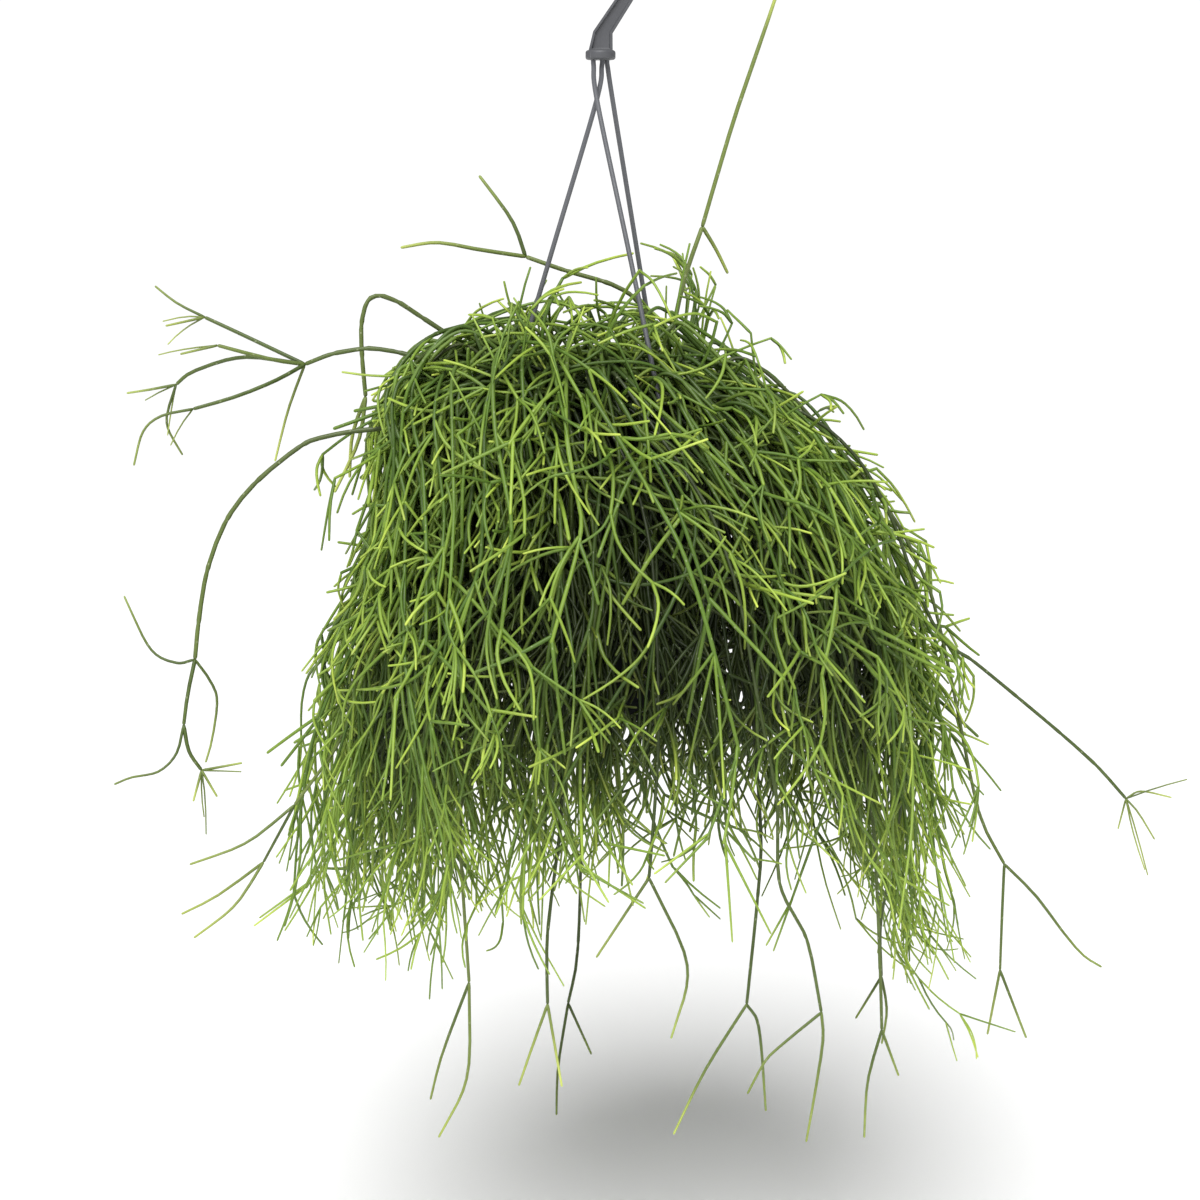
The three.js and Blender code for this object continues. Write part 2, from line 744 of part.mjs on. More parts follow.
// The point at a distance down the mantle, for a stem that runs in an inner shell of the mound.
function onMantle(travel, shell, azimuth) {
  let left = travel;
  let index = 0;
  while (index < mantleLengths.length - 1 && left > mantleLengths[index]) {
    left -= mantleLengths[index];
    index += 1;
  }
  const ring = mantleRing(index, left / mantleLengths[index]);
  const z = ring.z > RIM_Z ? RIM_Z + shell * (ring.z - RIM_Z) : ring.z;
  return polar(ring.radius * shell, azimuth, z).add(v(ring.middle * shell, 0, 0));
}

// How far a point stands out of the mound, sideways or upwards, whichever is less.
function standsOut(point) {
  const level = mantleWhere((ring) => -ring.z, -point.z);
  const reach = Math.hypot(point.x - level.middle, point.y);
  const above = mantleWhere((ring) => ring.radius, reach);
  return Math.min(reach - level.radius, point.z - above.z);
}

function hemZ(point) {
  const reach = Math.hypot(point.x, point.y);
  return HEM.z + (HEM.right * point.x) / reach + HEM.middle * Math.abs(point.y / reach) ** 3;
}

function isInMound(points) {
  return points.slice(1).every((point) => standsOut(point) < STAND_OUT && point.z > hemZ(point));
}

// ---------------------------------------------------------------- stems: how they grow

function strayed(point, draw) {
  const stray = () => (draw() - 0.5) * 2 * JITTER;
  return point.add(v(stray(), stray(), stray()));
}

// The joints of a branch that rises from its fork, joins the mantle and runs down it.
function archJoints(fork, ring, azimuth, draw) {
  const shell = mix(ring.shell, draw());
  const entry = mix(ring.entry, draw());
  const run = mix(ring.run, draw() ** SHORT_RUNS);
  const heading = azimuth + (draw() - 0.5) * ring.swing;
  const drift = ((draw() - 0.5) * ring.swing) / DRIFT_LENGTH;
  const joints = [fork.clone()];
  for (let travel = entry; travel < entry + run; travel += JOINT) {
    joints.push(strayed(onMantle(travel, shell, heading + drift * travel), draw));
  }
  return joints;
}

// A twig that leaves a joint at an angle to its parent, mostly on the outer side, and droops a little.
function twigJoints(from, direction, length, bends, draw) {
  const outward = v(from.x, from.y, 0).normalize();
  const side = direction.clone().cross(outward).normalize();
  const up = side.clone().cross(direction).normalize();
  const roll = (draw() - 0.5) * TWIG.roll * DEGREE;
  const angle = mix(TWIG.angle, draw()) * DEGREE;
  const heading = direction.clone().multiplyScalar(Math.cos(angle));
  heading.addScaledVector(up, Math.sin(angle) * Math.cos(roll));
  heading.addScaledVector(side, Math.sin(angle) * Math.sin(roll));
  const droop = mix(TWIG.droop, draw()) * length;
  const middle = from.clone().addScaledVector(heading, length * 0.5).add(v(0, 0, -droop * 0.3));
  const end = from.clone().addScaledVector(heading, length).add(v(0, 0, -droop));
  return bends ? [from.clone(), middle, end] : [from.clone(), end];
}

class Plant {
  constructor(name, { radius, lean }, azimuth, seed = 0) {
    this.name = name;
    this.root = polar(radius, azimuth, SOIL.top);
    this.fork = polar(radius + lean, azimuth, SOIL.top + FORK_HEIGHT);
    this.draw = dice(seed);
    this.stems = [];
    this.grow([this.root.clone().setZ(SOIL.top - SOIL.rootDepth + GAP), this.root, this.fork], STEM.main);
  }

  // A stem's foot may be set a little way along what it grows from, so that the two fuse cleanly.
  grow(points, radius, seat = v(0, 0, 0)) {
    this.stems.push({ points: [points[0].clone().add(seat), ...points.slice(1)], radius });
    place(points, radius, this.name);
  }

  // Draws a twig until one is clear of everything, and lets it fork.
  twig(from, direction, reach, forks, along, seat) {
    const radius = forks > 0 ? STEM.twig : STEM.tip;
    for (let attempt = 0; attempt < TRIES.twig; attempt++) {
      const length = mix(TWIG.length, this.draw()) * reach;
      const points = twigJoints(from, direction, length, forks > 0, this.draw);
      if (!isInMound(points) || !isClear(points, radius, this.name, OWN_ZONE.twig)) continue;
      this.grow(points, radius, along.clone().normalize().multiplyScalar(seat));
      if (forks > 0 && this.draw() < FORK.share) this.forkFrom(points, reach * FORK.reach, forks - 1);
      return;
    }
  }

  // Twigs from the end of a stem.
  forkFrom(points, reach, forks) {
    const onward = points.at(-1).clone().sub(points.at(-2)).normalize();
    for (const seat of FORK.seats) {
      this.twig(points.at(-1), onward, reach, forks, onward, seat);
    }
  }

  // Twigs from the joints along a branch.
  twigsAlong(points) {
    const nextJoint = (i) => i + (i < BENT_SPANS * BENT_STEPS ? BENT_STEPS : 1);
    for (let i = TWIG.firstJoint; i < points.length - 1; i = nextJoint(i)) {
      const direction = points[i + 1].clone().sub(points[i - 1]).normalize();
      const along = points[i + 1].clone().sub(points[i]);
      const count = Math.floor(TWIG.perJoint + this.draw());
      for (let n = 0; n < count; n++) {
        this.twig(points[i], direction, 1, 1, along, TWIG_SEAT);
      }
    }
  }

  mesh(color) {
    const solids = this.stems.map(({ points, radius }) => tube(points, radius, STEM_SIDES));
    const whole = wasm.Manifold.union(solids);
    return meshOf(this.name, whole.asOriginal().simplify(MERGE), stemSkin(color));
  }
}

function growCutting(name, ring, azimuth, seed) {
  const plant = new Plant(name, ring, azimuth, seed);
  for (let arch = 0; arch < ring.arches; arch++) {
    for (let attempt = 0; attempt < TRIES.arch; attempt++) {
      const points = smooth(archJoints(plant.fork, ring, azimuth, plant.draw), BENT_STEPS, BENT_SPANS);
      if (!isInMound(points) || !isClear(points, STEM.arch, name, OWN_ZONE.arch)) continue;
      plant.grow(points, STEM.arch);
      plant.twigsAlong(points);
      plant.forkFrom(points, 1, 1);
      break;
    }
  }
  return plant;
}

// A long shoot follows its own joints.
function growShoot({ name, root, slim, over, lines }) {
  const plant = new Plant(name, SHOOT_RING, root);
  const ends = [];
  for (const { from, joints } of lines) {
    const isMain = from === undefined;
    const start = [isMain ? plant.fork : ends[from]];
    for (let travel = over?.entry; isMain && travel < over?.until; travel += JOINT) {
      const share = (travel - over.entry) / (over.until - over.entry);
      start.push(onMantle(travel, over.shell, mix(over.azimuth, share)));
    }
    const steps = isMain ? BENT_STEPS : 1;
    const points = smooth([...start, ...joints.map((joint) => v(...joint))], steps, BENT_SPANS);
    const radius = (isMain ? STEM.arch : STEM.tip) * (slim ? SLIM : 1);
    if (!isClear(points, radius, name, OWN_ZONE.arch)) {
      throw new Error(name + " touches another piece on line " + ends.length);
    }
    plant.grow(points, radius);
    ends.push(points.at(-1));
  }
  return plant;
}

// ---------------------------------------------------------------- the object

const part = new THREE.Group();
part.name = "mistletoe_cactus";

for (const strand of STRANDS) {
  place(strandRoute(strand), STRAND.radius, strand.name);
}

const shoots = SHOOTS.map(growShoot);
const cuttings = [];
for (const ring of [INNER_RING, OUTER_RING]) {
  for (let i = 0; i < ring.count; i++) {
    const number = String(cuttings.length + 1).padStart(2, "0");
    const azimuth = ring.start + (360 / ring.count) * i;
    cuttings.push(growCutting("cutting_" + number, ring, azimuth, FIRST_SEED + cuttings.length));
  }
}

part.add(makeHook(), makePot());
for (const strand of STRANDS) {
  part.add(makeStrand(strand));
}
part.add(makeSoil([...cuttings, ...shoots].map((plant) => plant.root)));
cuttings.forEach((cutting, i) => part.add(cutting.mesh(STEM_COLORS[i % STEM_COLORS.length])));
shoots.forEach((shoot) => part.add(shoot.mesh(SHOOT_COLOR)));

export default part;
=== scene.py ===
# Mistletoe cactus in a hanging pot: the finished pieces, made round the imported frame. Stems are grown in
# millimetres, by the rule that the frame's own stems follow, and then get fine jointed skins in metres.

import math

import bmesh
import bpy
import numpy as np
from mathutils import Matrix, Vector, noise


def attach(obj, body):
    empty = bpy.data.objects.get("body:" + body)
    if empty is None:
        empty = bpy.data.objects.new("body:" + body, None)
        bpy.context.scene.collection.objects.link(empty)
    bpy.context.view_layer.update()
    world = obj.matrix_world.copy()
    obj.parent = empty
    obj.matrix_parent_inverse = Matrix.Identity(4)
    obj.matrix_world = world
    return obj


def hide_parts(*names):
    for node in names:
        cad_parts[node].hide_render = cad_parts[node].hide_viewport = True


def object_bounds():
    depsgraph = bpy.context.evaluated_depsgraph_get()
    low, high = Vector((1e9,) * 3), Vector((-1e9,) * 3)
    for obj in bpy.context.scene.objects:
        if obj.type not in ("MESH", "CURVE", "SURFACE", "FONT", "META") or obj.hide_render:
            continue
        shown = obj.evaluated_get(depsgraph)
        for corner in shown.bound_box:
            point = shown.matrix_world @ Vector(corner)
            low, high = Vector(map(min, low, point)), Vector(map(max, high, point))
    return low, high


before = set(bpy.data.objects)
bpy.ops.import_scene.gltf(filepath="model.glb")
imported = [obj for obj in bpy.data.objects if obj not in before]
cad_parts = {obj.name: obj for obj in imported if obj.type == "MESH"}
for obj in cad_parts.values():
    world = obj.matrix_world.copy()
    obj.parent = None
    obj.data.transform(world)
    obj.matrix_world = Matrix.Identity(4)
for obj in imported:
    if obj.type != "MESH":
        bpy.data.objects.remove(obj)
frame_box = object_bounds()

MM = 0.001
DEGREE = math.pi / 180

# ---------------------------------------------------------------- driving sizes, in millimetres

HOOK = {
    "bore": 18, "width": 8, "thickness": 6, "lean": 32, "tip": 212, "arm": 41, "inner_arm": 46, "flare": 2,
    "foot_half": 7, "foot_depth": 0.8, "ease": 0.35,
}
HOOK_RIM = {"width": 1.5, "depth": 2.0, "slope": 0.25}
COLLAR = {"x": -6.6, "top": -76.2, "bottom": -81.8, "radius": 8.6, "ease": 1.5, "socket": 4.6, "below": 2}
# A strand leaves its socket straight, bows outward at its knee, and comes down on its lug from above the rim.
# Its two ends stop short of the socket's roof and of the bead's middle.
STRAND = {
    "radius": 1.4, "play": 0.4, "short": 1, "straight": 1.5, "knee": 0.1, "middle": 0.5, "middle_bow": 0.4,
    "above_rim": 4, "bead_radius": 2.7, "bead_foot": 0.55, "bead_height": 5, "bead_ease": 0.6,
}
STRANDS = {
    "strand_left": {"azimuth": 180, "socket": (1, 0.2), "bow": 2.8},
    "strand_front": {"azimuth": -60, "socket": (-4.1, -2.6), "bow": 4.4},
    "strand_back": {"azimuth": 60, "socket": (3.7, 3.2), "bow": 0.4},
}
RIM_Z = -328
POT = {"height": 130, "mouth": 66, "base": 50, "wall": 1.6, "lip": 4, "lip_drop": 8, "ease": 0.35}
POT_BASE_Z = RIM_Z - POT["height"]
LUG = {"reach": 73, "radius": 6.5, "thickness": 3}
DRAIN = {"count": 6, "circle": 32, "radius": 4.5, "rise": 2.4}
SOIL = {"top": RIM_Z - 14, "root_depth": 24, "rise": 2.5}
GAP = 0.3

STEM = {"main": 1.9, "arch": 1.55, "twig": 1.4, "tip": 1.3}
# The mound that the stems fall over, from the crown to the hem: its radius, height and middle along X.
MANTLE = np.array((
    (12, -218, -28), (56, -227, -28), (95, -247, -30), (123, -277, -20), (140, -308, -5), (154, -340, 6),
    (174, -392, 11), (190, -449, 8), (200, -507, 9), (205, -565, 8), (207, -640, 8),
), float)
STAND_OUT = 17  # so far a stem of the frame may stand out of the mantle
HEM = {"z": -594, "right": -14, "middle": 36}
# Two rings of rooted cuttings. A branch runs in a shell of the mound, which is a share of its size: it joins
# the mantle at a distance down from the crown, runs on for a length, and swings to either side, in degrees.
INNER_RING = {
    "count": 7, "radius": 20, "lean": 5, "start": 8, "arches": 3,
    "shell": (0.84, 0.99), "entry": (34, 120), "run": (100, 370), "swing": 46,
}
OUTER_RING = {
    "count": 12, "radius": 47, "lean": 5, "start": 15, "arches": 2,
    "shell": (0.66, 0.86), "entry": (62, 112), "run": (80, 320), "swing": 26,
}
FORK_HEIGHT = 36
JOINT = 54  # from one joint of a branch to the next
BENT_SPANS = 4  # so many spans of a branch bend, in so many steps each, and the rest run straight
BENT_STEPS = 2
JITTER = 5.5
SHORT_RUNS = 0.9
DRIFT_LENGTH = 250
TWIG = {
    "length": (32, 66), "angle": (22, 58), "roll": 250, "droop": (0.05, 0.26), "middle_droop": 0.3,
    "per_joint": 0.46, "first": 4,
}
FORK = {"share": 0.34, "reach": 0.8, "seats": (-2, -5)}
TWIG_SEAT = 2.5
CLEARANCE = 0.5
OWN_ZONE = {"twig": 7, "arch": 9}
OWN_START = 0.3
POT_ZONE = {"above": 8, "below": 6, "beside": 12}
TRIES = {"twig": 14, "arch": 56}
FIRST_SEED = 700
FIRST_SHOOT = 100  # the shoots are numbered from here
MOST_STRETCHES = 4000
SHOOT_RING = {"radius": 34, "lean": 3}
SLIM = 0.75
# How old a stem is at its foot and at its end, from 0 for a young tip to 1.
AGES = {
    "root": (1.0, 0.8), "arch": (0.9, 0.4), "twig": (0.5, 0.3), "last_twig": (0.3, 0.0),
    "shoot": (0.95, 0.6), "shoot_fork": (0.55, 0.35), "shoot_tip": (0.55, 0.0), "fine_arch": (0.9, 0.45),
    "sprig": (0.55, 0.35), "last_sprig": (0.4, 0.0), "spike": (0.6, 0.35), "last_spike": (0.5, 0.0),
    "veil": (0.6, 0.0), "fine_tip": (0.45, 0.0),
}

# The long shoots that stand out of the mound or hang below it. Each line is the number of the earlier line
# that it grows from the end of, and its own joints. A slim shoot is thinner.


def trailing(root, azimuth, shell, entry, until, lines, turn=0):
    """A slim shoot that first runs down inside the mantle, from one distance down it to another."""
    over = {"azimuth": (azimuth, azimuth + turn), "shell": shell, "entry": entry, "until": until}
    return {"root": root, "lines": lines, "slim": True, "over": over}


SHOOTS = {
    "shoot_upright": {"root": 34, "lines": [
        (None, [(30, 10, -262), (36, 9, -232), (42, 9, -206), (52, 10, -177)]),
        (0, [(61, 12, -146), (71, 14, -113), (83, 17, -78), (94, 20, -46), (99, 21, -29)]),
        (0, [(60, 16, -190), (67, 19, -204)]),
    ]},
    "shoot_crown": {"root": 56, "lines": [
        (None, [
            (24, 30, -262), (24, 29, -236), (12, 27, -217), (-6, 26, -208), (-27, 26, -202),
            (-50, 27, -194),
        ]),
        (0, [(-58, 29, -173), (-77, 32, -147)]),
        (0, [(-77, 22, -190), (-101, 18, -186), (-122, 14, -189)]),
    ]},
    "shoot_loop": {"root": 146, "lines": [
        (None, [
            (-66, 20, -262), (-92, 20, -241), (-110, 18, -229), (-124, 16, -220), (-134, 14, -216.6),
            (-141, 12, -220), (-144.5, 11, -234), (-144, 10, -253), (-142, 8, -275),
        ]),
        (0, [(-146, 6, -300), (-160, 4, -330)]),
        (0, [(-150, 16, -297), (-152, 22, -322)]),
    ]},
    "shoot_left_high": {"root": 191, "lines": [
        (None, [
            (-66, -14, -272), (-97, -12, -257), (-123, -12, -249), (-142, -12, -247), (-160, -11, -250),
            (-176, -10, -256),
        ]),
        (0, [(-210, -4, -240), (-234, 0, -229)]),
        (1, [(-250, 3, -221), (-263, 5, -211)]),
        (1, [(-256, -8, -234)]),
        (0, [(-195, -18, -253), (-225, -26, -245)]),
        (4, [(-246, -30, -250)]),
        (0, [(-212, 10, -252), (-241, 16, -260), (-252, 18, -268)]),
        (6, [(-268, 20, -271), (-281, 22, -273)]),
        (6, [(-258, 24, -290), (-249, 27, -309)]),
        (0, [(-192, -24, -265), (-214, -34, -274), (-238, -40, -281)]),
        (9, [(-256, -44, -285), (-266, -47, -294), (-271, -49, -313)]),
        (0, [(-186, -2, -282), (-194, 2, -312)]),
    ]},
    "shoot_left_low": {"root": 214, "lines": [
        (None, [
            (-78, -22, -291), (-120, -26, -292), (-148, -28, -294), (-177, -30, -302), (-203, -31, -323),
            (-220, -32, -345), (-231, -32, -374), (-236, -32, -404), (-238, -32, -424),
        ]),
        (0, [(-249, -30, -426), (-264, -27, -418), (-279, -24, -388)]),
        (0, [(-242, -36, -444), (-244, -40, -461)]),
        (2, [(-248, -43, -477), (-258, -46, -487), (-273, -49, -490), (-283, -50, -494)]),
        (2, [(-241, -40, -476), (-234, -38, -487)]),
        (4, [(-239, -36, -505)]),
        (4, [(-225, -40, -502)]),
        (4, [(-211, -34, -483)]),
        (0, [(-230, -27, -436), (-226, -24, -448), (-229, -22, -470), (-233, -20, -484)]),
    ]},
    "shoot_left_hem": trailing(root=203, azimuth=200, shell=0.88, entry=60, until=350, lines=[
        (None, [(-180, -58, -505)]),
        (0, [(-207, -62, -526), (-239, -66, -538)]),
        (0, [(-198, -54, -538)]),
        (2, [(-224, -52, -557), (-245, -50, -568)]),
        (2, [(-214, -60, -562), (-237, -64, -580)]),
    ]),
    "hanging_shoot_front_left": trailing(root=236, azimuth=231, shell=0.72, entry=60, until=400, lines=[
        (None, [(-80, -108, -600)]),
        (0, [(-81, -112, -652), (-97, -116, -686)]),
        (0, [(-95, -104, -640), (-102, -100, -667)]),
    ]),
    "hanging_shoot_front_01": trailing(root=259, azimuth=254, shell=0.62, entry=50, until=390, lines=[
        (None, [(-36, -124, -570), (-36, -126, -610)]),
        (0, [(-44, -128, -632), (-52, -130, -655)]),
        (0, [(-28, -134, -655)]),
    ]),
    "hanging_shoot_front_02": trailing(root=281, azimuth=277, shell=0.78, entry=66, until=380, lines=[
        (None, [(20, -160, -536)]),
        (0, [(41, -164, -584), (32, -166, -624)]),
        (0, [(-9, -168, -579)]),
    ]),
    "hanging_shoot_front_03": trailing(root=299, azimuth=288, shell=0.85, entry=90, until=370, lines=[
        (None, [(92, -150, -540), (107, -152, -571), (115, -153, -611)]),
        (0, [(95, -156, -627), (84, -159, -637), (74, -162, -655)]),
        (0, [(116, -150, -627), (112, -148, -655), (107, -146, -684)]),
    ], turn=12),
    "hanging_shoot_front_04": trailing(root=315, azimuth=307, shell=0.64, entry=62, until=400, lines=[
        (None, [(81, -108, -553), (75, -110, -612)]),
        (0, [(52, -114, -648), (34, -118, -684)]),
        (0, [(82, -106, -626), (86, -104, -673)]),
    ]),
    "hanging_shoot_right_01": trailing(root=330, azimuth=338, shell=0.76, entry=70, until=420, lines=[
        (None, [(152, -60, -600), (153, -60, -633)]),
        (0, [(145, -62, -662), (143, -64, -694)]),
        (0, [(163, -54, -660)]),
    ]),
    "shoot_right_long": {"root": 345, "slim": True, "lines": [
        (None, [
            (70, -16, -276), (110, -20, -284), (142, -22, -312), (163, -24, -352), (176, -24, -388),
            (190, -24, -414), (206, -23, -425), (233, -22, -447), (258, -20, -468), (278, -18, -486),
            (295, -17, -505),
        ]),
        (0, [(304, -14, -501), (322, -10, -505)]),
        (0, [(302, -20, -513), (311, -23, -528)]),
        (0, [(291, -12, -523)]),
    ]},
    "shoot_right_hem": trailing(root=0, azimuth=0, shell=1, entry=96, until=360, lines=[
        (None, [(212, 6, -514), (227, 6, -545)]),
        (0, [(245, 4, -563), (260, 2, -583), (272, 0, -597), (283, -2, -604)]),
        (0, [(226, 8, -574), (225, 9, -607)]),
        (2, [(218, 12, -645)]),
        (2, [(240, 4, -646)]),
    ]),
    "hanging_shoot_right_02": trailing(root=15, azimuth=5, shell=0.8, entry=60, until=410, lines=[
        (None, [(158, 46, -580), (158, 44, -615)]),
        (0, [(143, 46, -640)]),
        (0, [(161, 40, -634), (158, 38, -654)]),
    ]),
    "hanging_shoot_back": trailing(root=101, azimuth=101, shell=0.6, entry=50, until=420, lines=[
        (None, [(-20, 120, -605), (-26, 118, -640)]),
        (0, [(-32, 116, -678), (-33, 114, -707)]),
        (0, [(-12, 126, -672)]),
    ]),
}

# ---------------------------------------------------------------- the growth rule


def mix(span, share):
    return span[0] + (span[1] - span[0]) * share


def polar(radius, degrees, z):
    return np.array((radius * math.cos(degrees * DEGREE), radius * math.sin(degrees * DEGREE), z), float)


def unit(vector):
    return vector / math.sqrt(vector @ vector)


def cross(a, b):
    return np.array((a[1] * b[2] - a[2] * b[1], a[2] * b[0] - a[0] * b[2], a[0] * b[1] - a[1] * b[0]))


def dice(seed):
    """Seeded dice: the same draws every time, from 0 to 1, by stirring the bits of a 32-bit word."""
    word = 0xFFFFFFFF
    stride = 0x6D2B79F5
    state = seed

    def draw():
        nonlocal state
        state = (state + stride) & word
        t = ((state ^ (state >> 15)) * (1 | state)) & word
        t = (t + (((t ^ (t >> 7)) * (61 | t)) & word)) & word ^ t
        return (t ^ (t >> 14)) / (word + 1)

    return draw


def bend(a, b, c, d, t):
    """A point between b and c on the smooth line through a, b, c and d."""
    return 0.5 * (
        2 * b + (c - a) * t + (2 * a - 5 * b + 4 * c - d) * t * t + (3 * b - a - 3 * c + d) * t * t * t
    )


def smooth(joints, steps, bent_spans=math.inf):
    """Points on a smooth line through the joints: so many steps to a span at first, then one to a span."""
    points = [joints[0]]
    for i in range(len(joints) - 1):
        b = joints[i]
        c = joints[i + 1]
        if i >= bent_spans:
            points.append(c)
            continue
        a = joints[i - 1] if i > 0 else 2 * b - c
        d = joints[i + 2] if i + 2 < len(joints) else 2 * c - b
        points += [bend(a, b, c, d, step / steps) for step in range(1, steps + 1)]
    return points


def pot_radius(z):
    return POT["base"] + (POT["mouth"] - POT["base"]) * (z - POT_BASE_Z) / POT["height"]


class Thicket:
    """Every straight stretch of stem or strand placed so far."""

    def __init__(self):
        self.starts = np.zeros((MOST_STRETCHES, 3))
        self.ends = np.zeros((MOST_STRETCHES, 3))
        self.radii = np.zeros(MOST_STRETCHES)
        self.owners = np.zeros(MOST_STRETCHES, int)
        self.count = 0

    def place(self, points, radius, owner):
        for a, b in zip(points, points[1:]):
            self.starts[self.count] = a
            self.ends[self.count] = b
            self.radii[self.count] = radius
            self.owners[self.count] = owner
            self.count += 1

    def distances(self, a, b):
        """Least distance from the stretch a-b to each placed one."""
        starts = self.starts[: self.count]
        across = self.ends[: self.count] - starts
        along = b - a
        apart = a - starts
        length = along @ along
        lengths = (across * across).sum(1)
        f = (across * apart).sum(1)
        c = apart @ along
        both = across @ along
        spread = length * lengths - both * both
        crossing = np.clip((both * f - c * lengths) / np.where(spread > 1e-9, spread, 1), 0, 1)
        s = np.where(spread > 1e-9, crossing, 0)
        t = (both * s + f) / lengths
        kept = np.clip(t, 0, 1)
        s = np.where(t == kept, s, np.clip((both * kept - c) / length, 0, 1))
        gap = apart + s[:, None] * along - kept[:, None] * across
        return np.sqrt((gap * gap).sum(1))

    def is_clear(self, points, radius, owner, root_zone):
        """Whether a stem keeps clear of the pot and of all that is placed.

        Near its root it may touch its owner.
        """
        if not clears_pot(points):
            return False
        root = points[0]
        allowed = radius + self.radii[: self.count] + CLEARANCE
        for index, (a, b) in enumerate(zip(points, points[1:])):
            if index > 0:
                if (self.distances(a, b) <= allowed).any():
                    return False
                continue
            own = self.owners[: self.count] == owner
            to_start = np.linalg.norm(self.starts[: self.count] - root, axis=1)
            to_end = np.linalg.norm(self.ends[: self.count] - root, axis=1)
            excused = own & (np.minimum(to_start, to_end) < root_zone)
            others = self.distances(a, b) <= allowed
            kin = self.distances(a + (b - a) * OWN_START, b) <= allowed
            if (np.where(own, kin, others) & ~excused).any():
                return False
        return True


def clears_pot(points):
    for x, y, z in points[1:]:
        beside = POT_BASE_Z - POT_ZONE["below"] < z < RIM_Z + POT_ZONE["above"]
        if beside and math.hypot(x, y) <= pot_radius(z) + LUG["radius"] + POT_ZONE["beside"]:
            return False
    return True


mantle_lengths = np.linalg.norm(np.diff(MANTLE[:, :2], axis=0), axis=1)
mantle_rows = MANTLE.tolist()


def on_mantle(travel, shell, azimuth):
    """The point at a distance down the mantle, for a stem that runs in an inner shell of the mound."""
    left = travel
    index = 0
    while index < len(mantle_lengths) - 1 and left > mantle_lengths[index]:
        left -= mantle_lengths[index]
        index += 1
    step = MANTLE[index + 1] - MANTLE[index]
    radius, height, middle = MANTLE[index] + step * left / mantle_lengths[index]
    z = RIM_Z + shell * (height - RIM_Z) if height > RIM_Z else height
    return polar(radius * shell, azimuth, z) + np.array((middle * shell, 0, 0))


def mantle_where(column, sign, value):
    """The mantle's radius, height and middle where its radius, or its depth, has a value."""
    last = len(mantle_rows) - 2
    index = 0
    while index < last and sign * mantle_rows[index + 1][column] < value:
        index += 1
    low, high = mantle_rows[index : index + 2]
    share = (value - sign * low[column]) / (sign * (high[column] - low[column]))
    share = min(max(share, 0.0), 1.0)
    return [mix(pair, share) for pair in zip(low, high)]


def from_mantle(point):
    """How far a point stands out of the mound sideways, and how far above it."""
    x, y, z = point.tolist()
    radius, _, middle = mantle_where(1, -1, -z)
    reach = math.hypot(x - middle, y)
    return reach - radius, z - mantle_where(0, 1, reach)[1]


def stands_out(point):
    return min(from_mantle(point))


def hem_z(point):
    reach = math.hypot(point[0], point[1])
    return HEM["z"] + HEM["right"] * point[0] / reach + HEM["middle"] * abs(point[1] / reach) ** 3


def in_mound(points):
    return all(stands_out(point) < STAND_OUT and point[2] > hem_z(point) for point in points[1:])


def strayed(point, draw, reach=JITTER):
    return point + np.array([(draw() - 0.5) * 2 * reach for _ in range(3)])


def arch_joints(fork, ring, azimuth, draw):
    """The joints of a branch that rises from its fork, joins the mantle and runs down it."""
    shell = mix(ring["shell"], draw())
    entry = mix(ring["entry"], draw())
    run = mix(ring["run"], draw() ** SHORT_RUNS)
    heading = azimuth + (draw() - 0.5) * ring["swing"]
    drift = ((draw() - 0.5) * ring["swing"]) / DRIFT_LENGTH
    joints = [fork]
    travel = entry
    while travel < entry + run:
        joints.append(strayed(on_mantle(travel, shell, heading + drift * travel), draw))
        travel += JOINT
    return joints


def twig_joints(start, direction, length, bends, draw):
    """A twig that leaves a joint at an angle to its parent, mostly on the outer side, and droops a little."""
    outward = unit(np.array((start[0], start[1], 0.0)))
    side = unit(cross(direction, outward))
    up = unit(cross(side, direction))
    roll = (draw() - 0.5) * TWIG["roll"] * DEGREE
    angle = mix(TWIG["angle"], draw()) * DEGREE
    sideways = up * math.cos(roll) + side * math.sin(roll)
    heading = direction * math.cos(angle) + sideways * math.sin(angle)
    droop = np.array((0, 0, -mix(TWIG["droop"], draw()) * length))
    middle = start + heading * length * 0.5 + droop * TWIG["middle_droop"]
    end = start + heading * length + droop
    return [start, middle, end] if bends else [start, end]


class Stem:
    """One grown stem: its points, radius, the part it plays, and which of its points are joints."""

    def __init__(self, points, radius, part, joints=(), fine=False):
        self.points = points
        self.radius = radius
        self.part = part
        self.joints = joints
        self.fine = fine

    @property
    def is_tip(self):
        return AGES[self.part][1] == 0


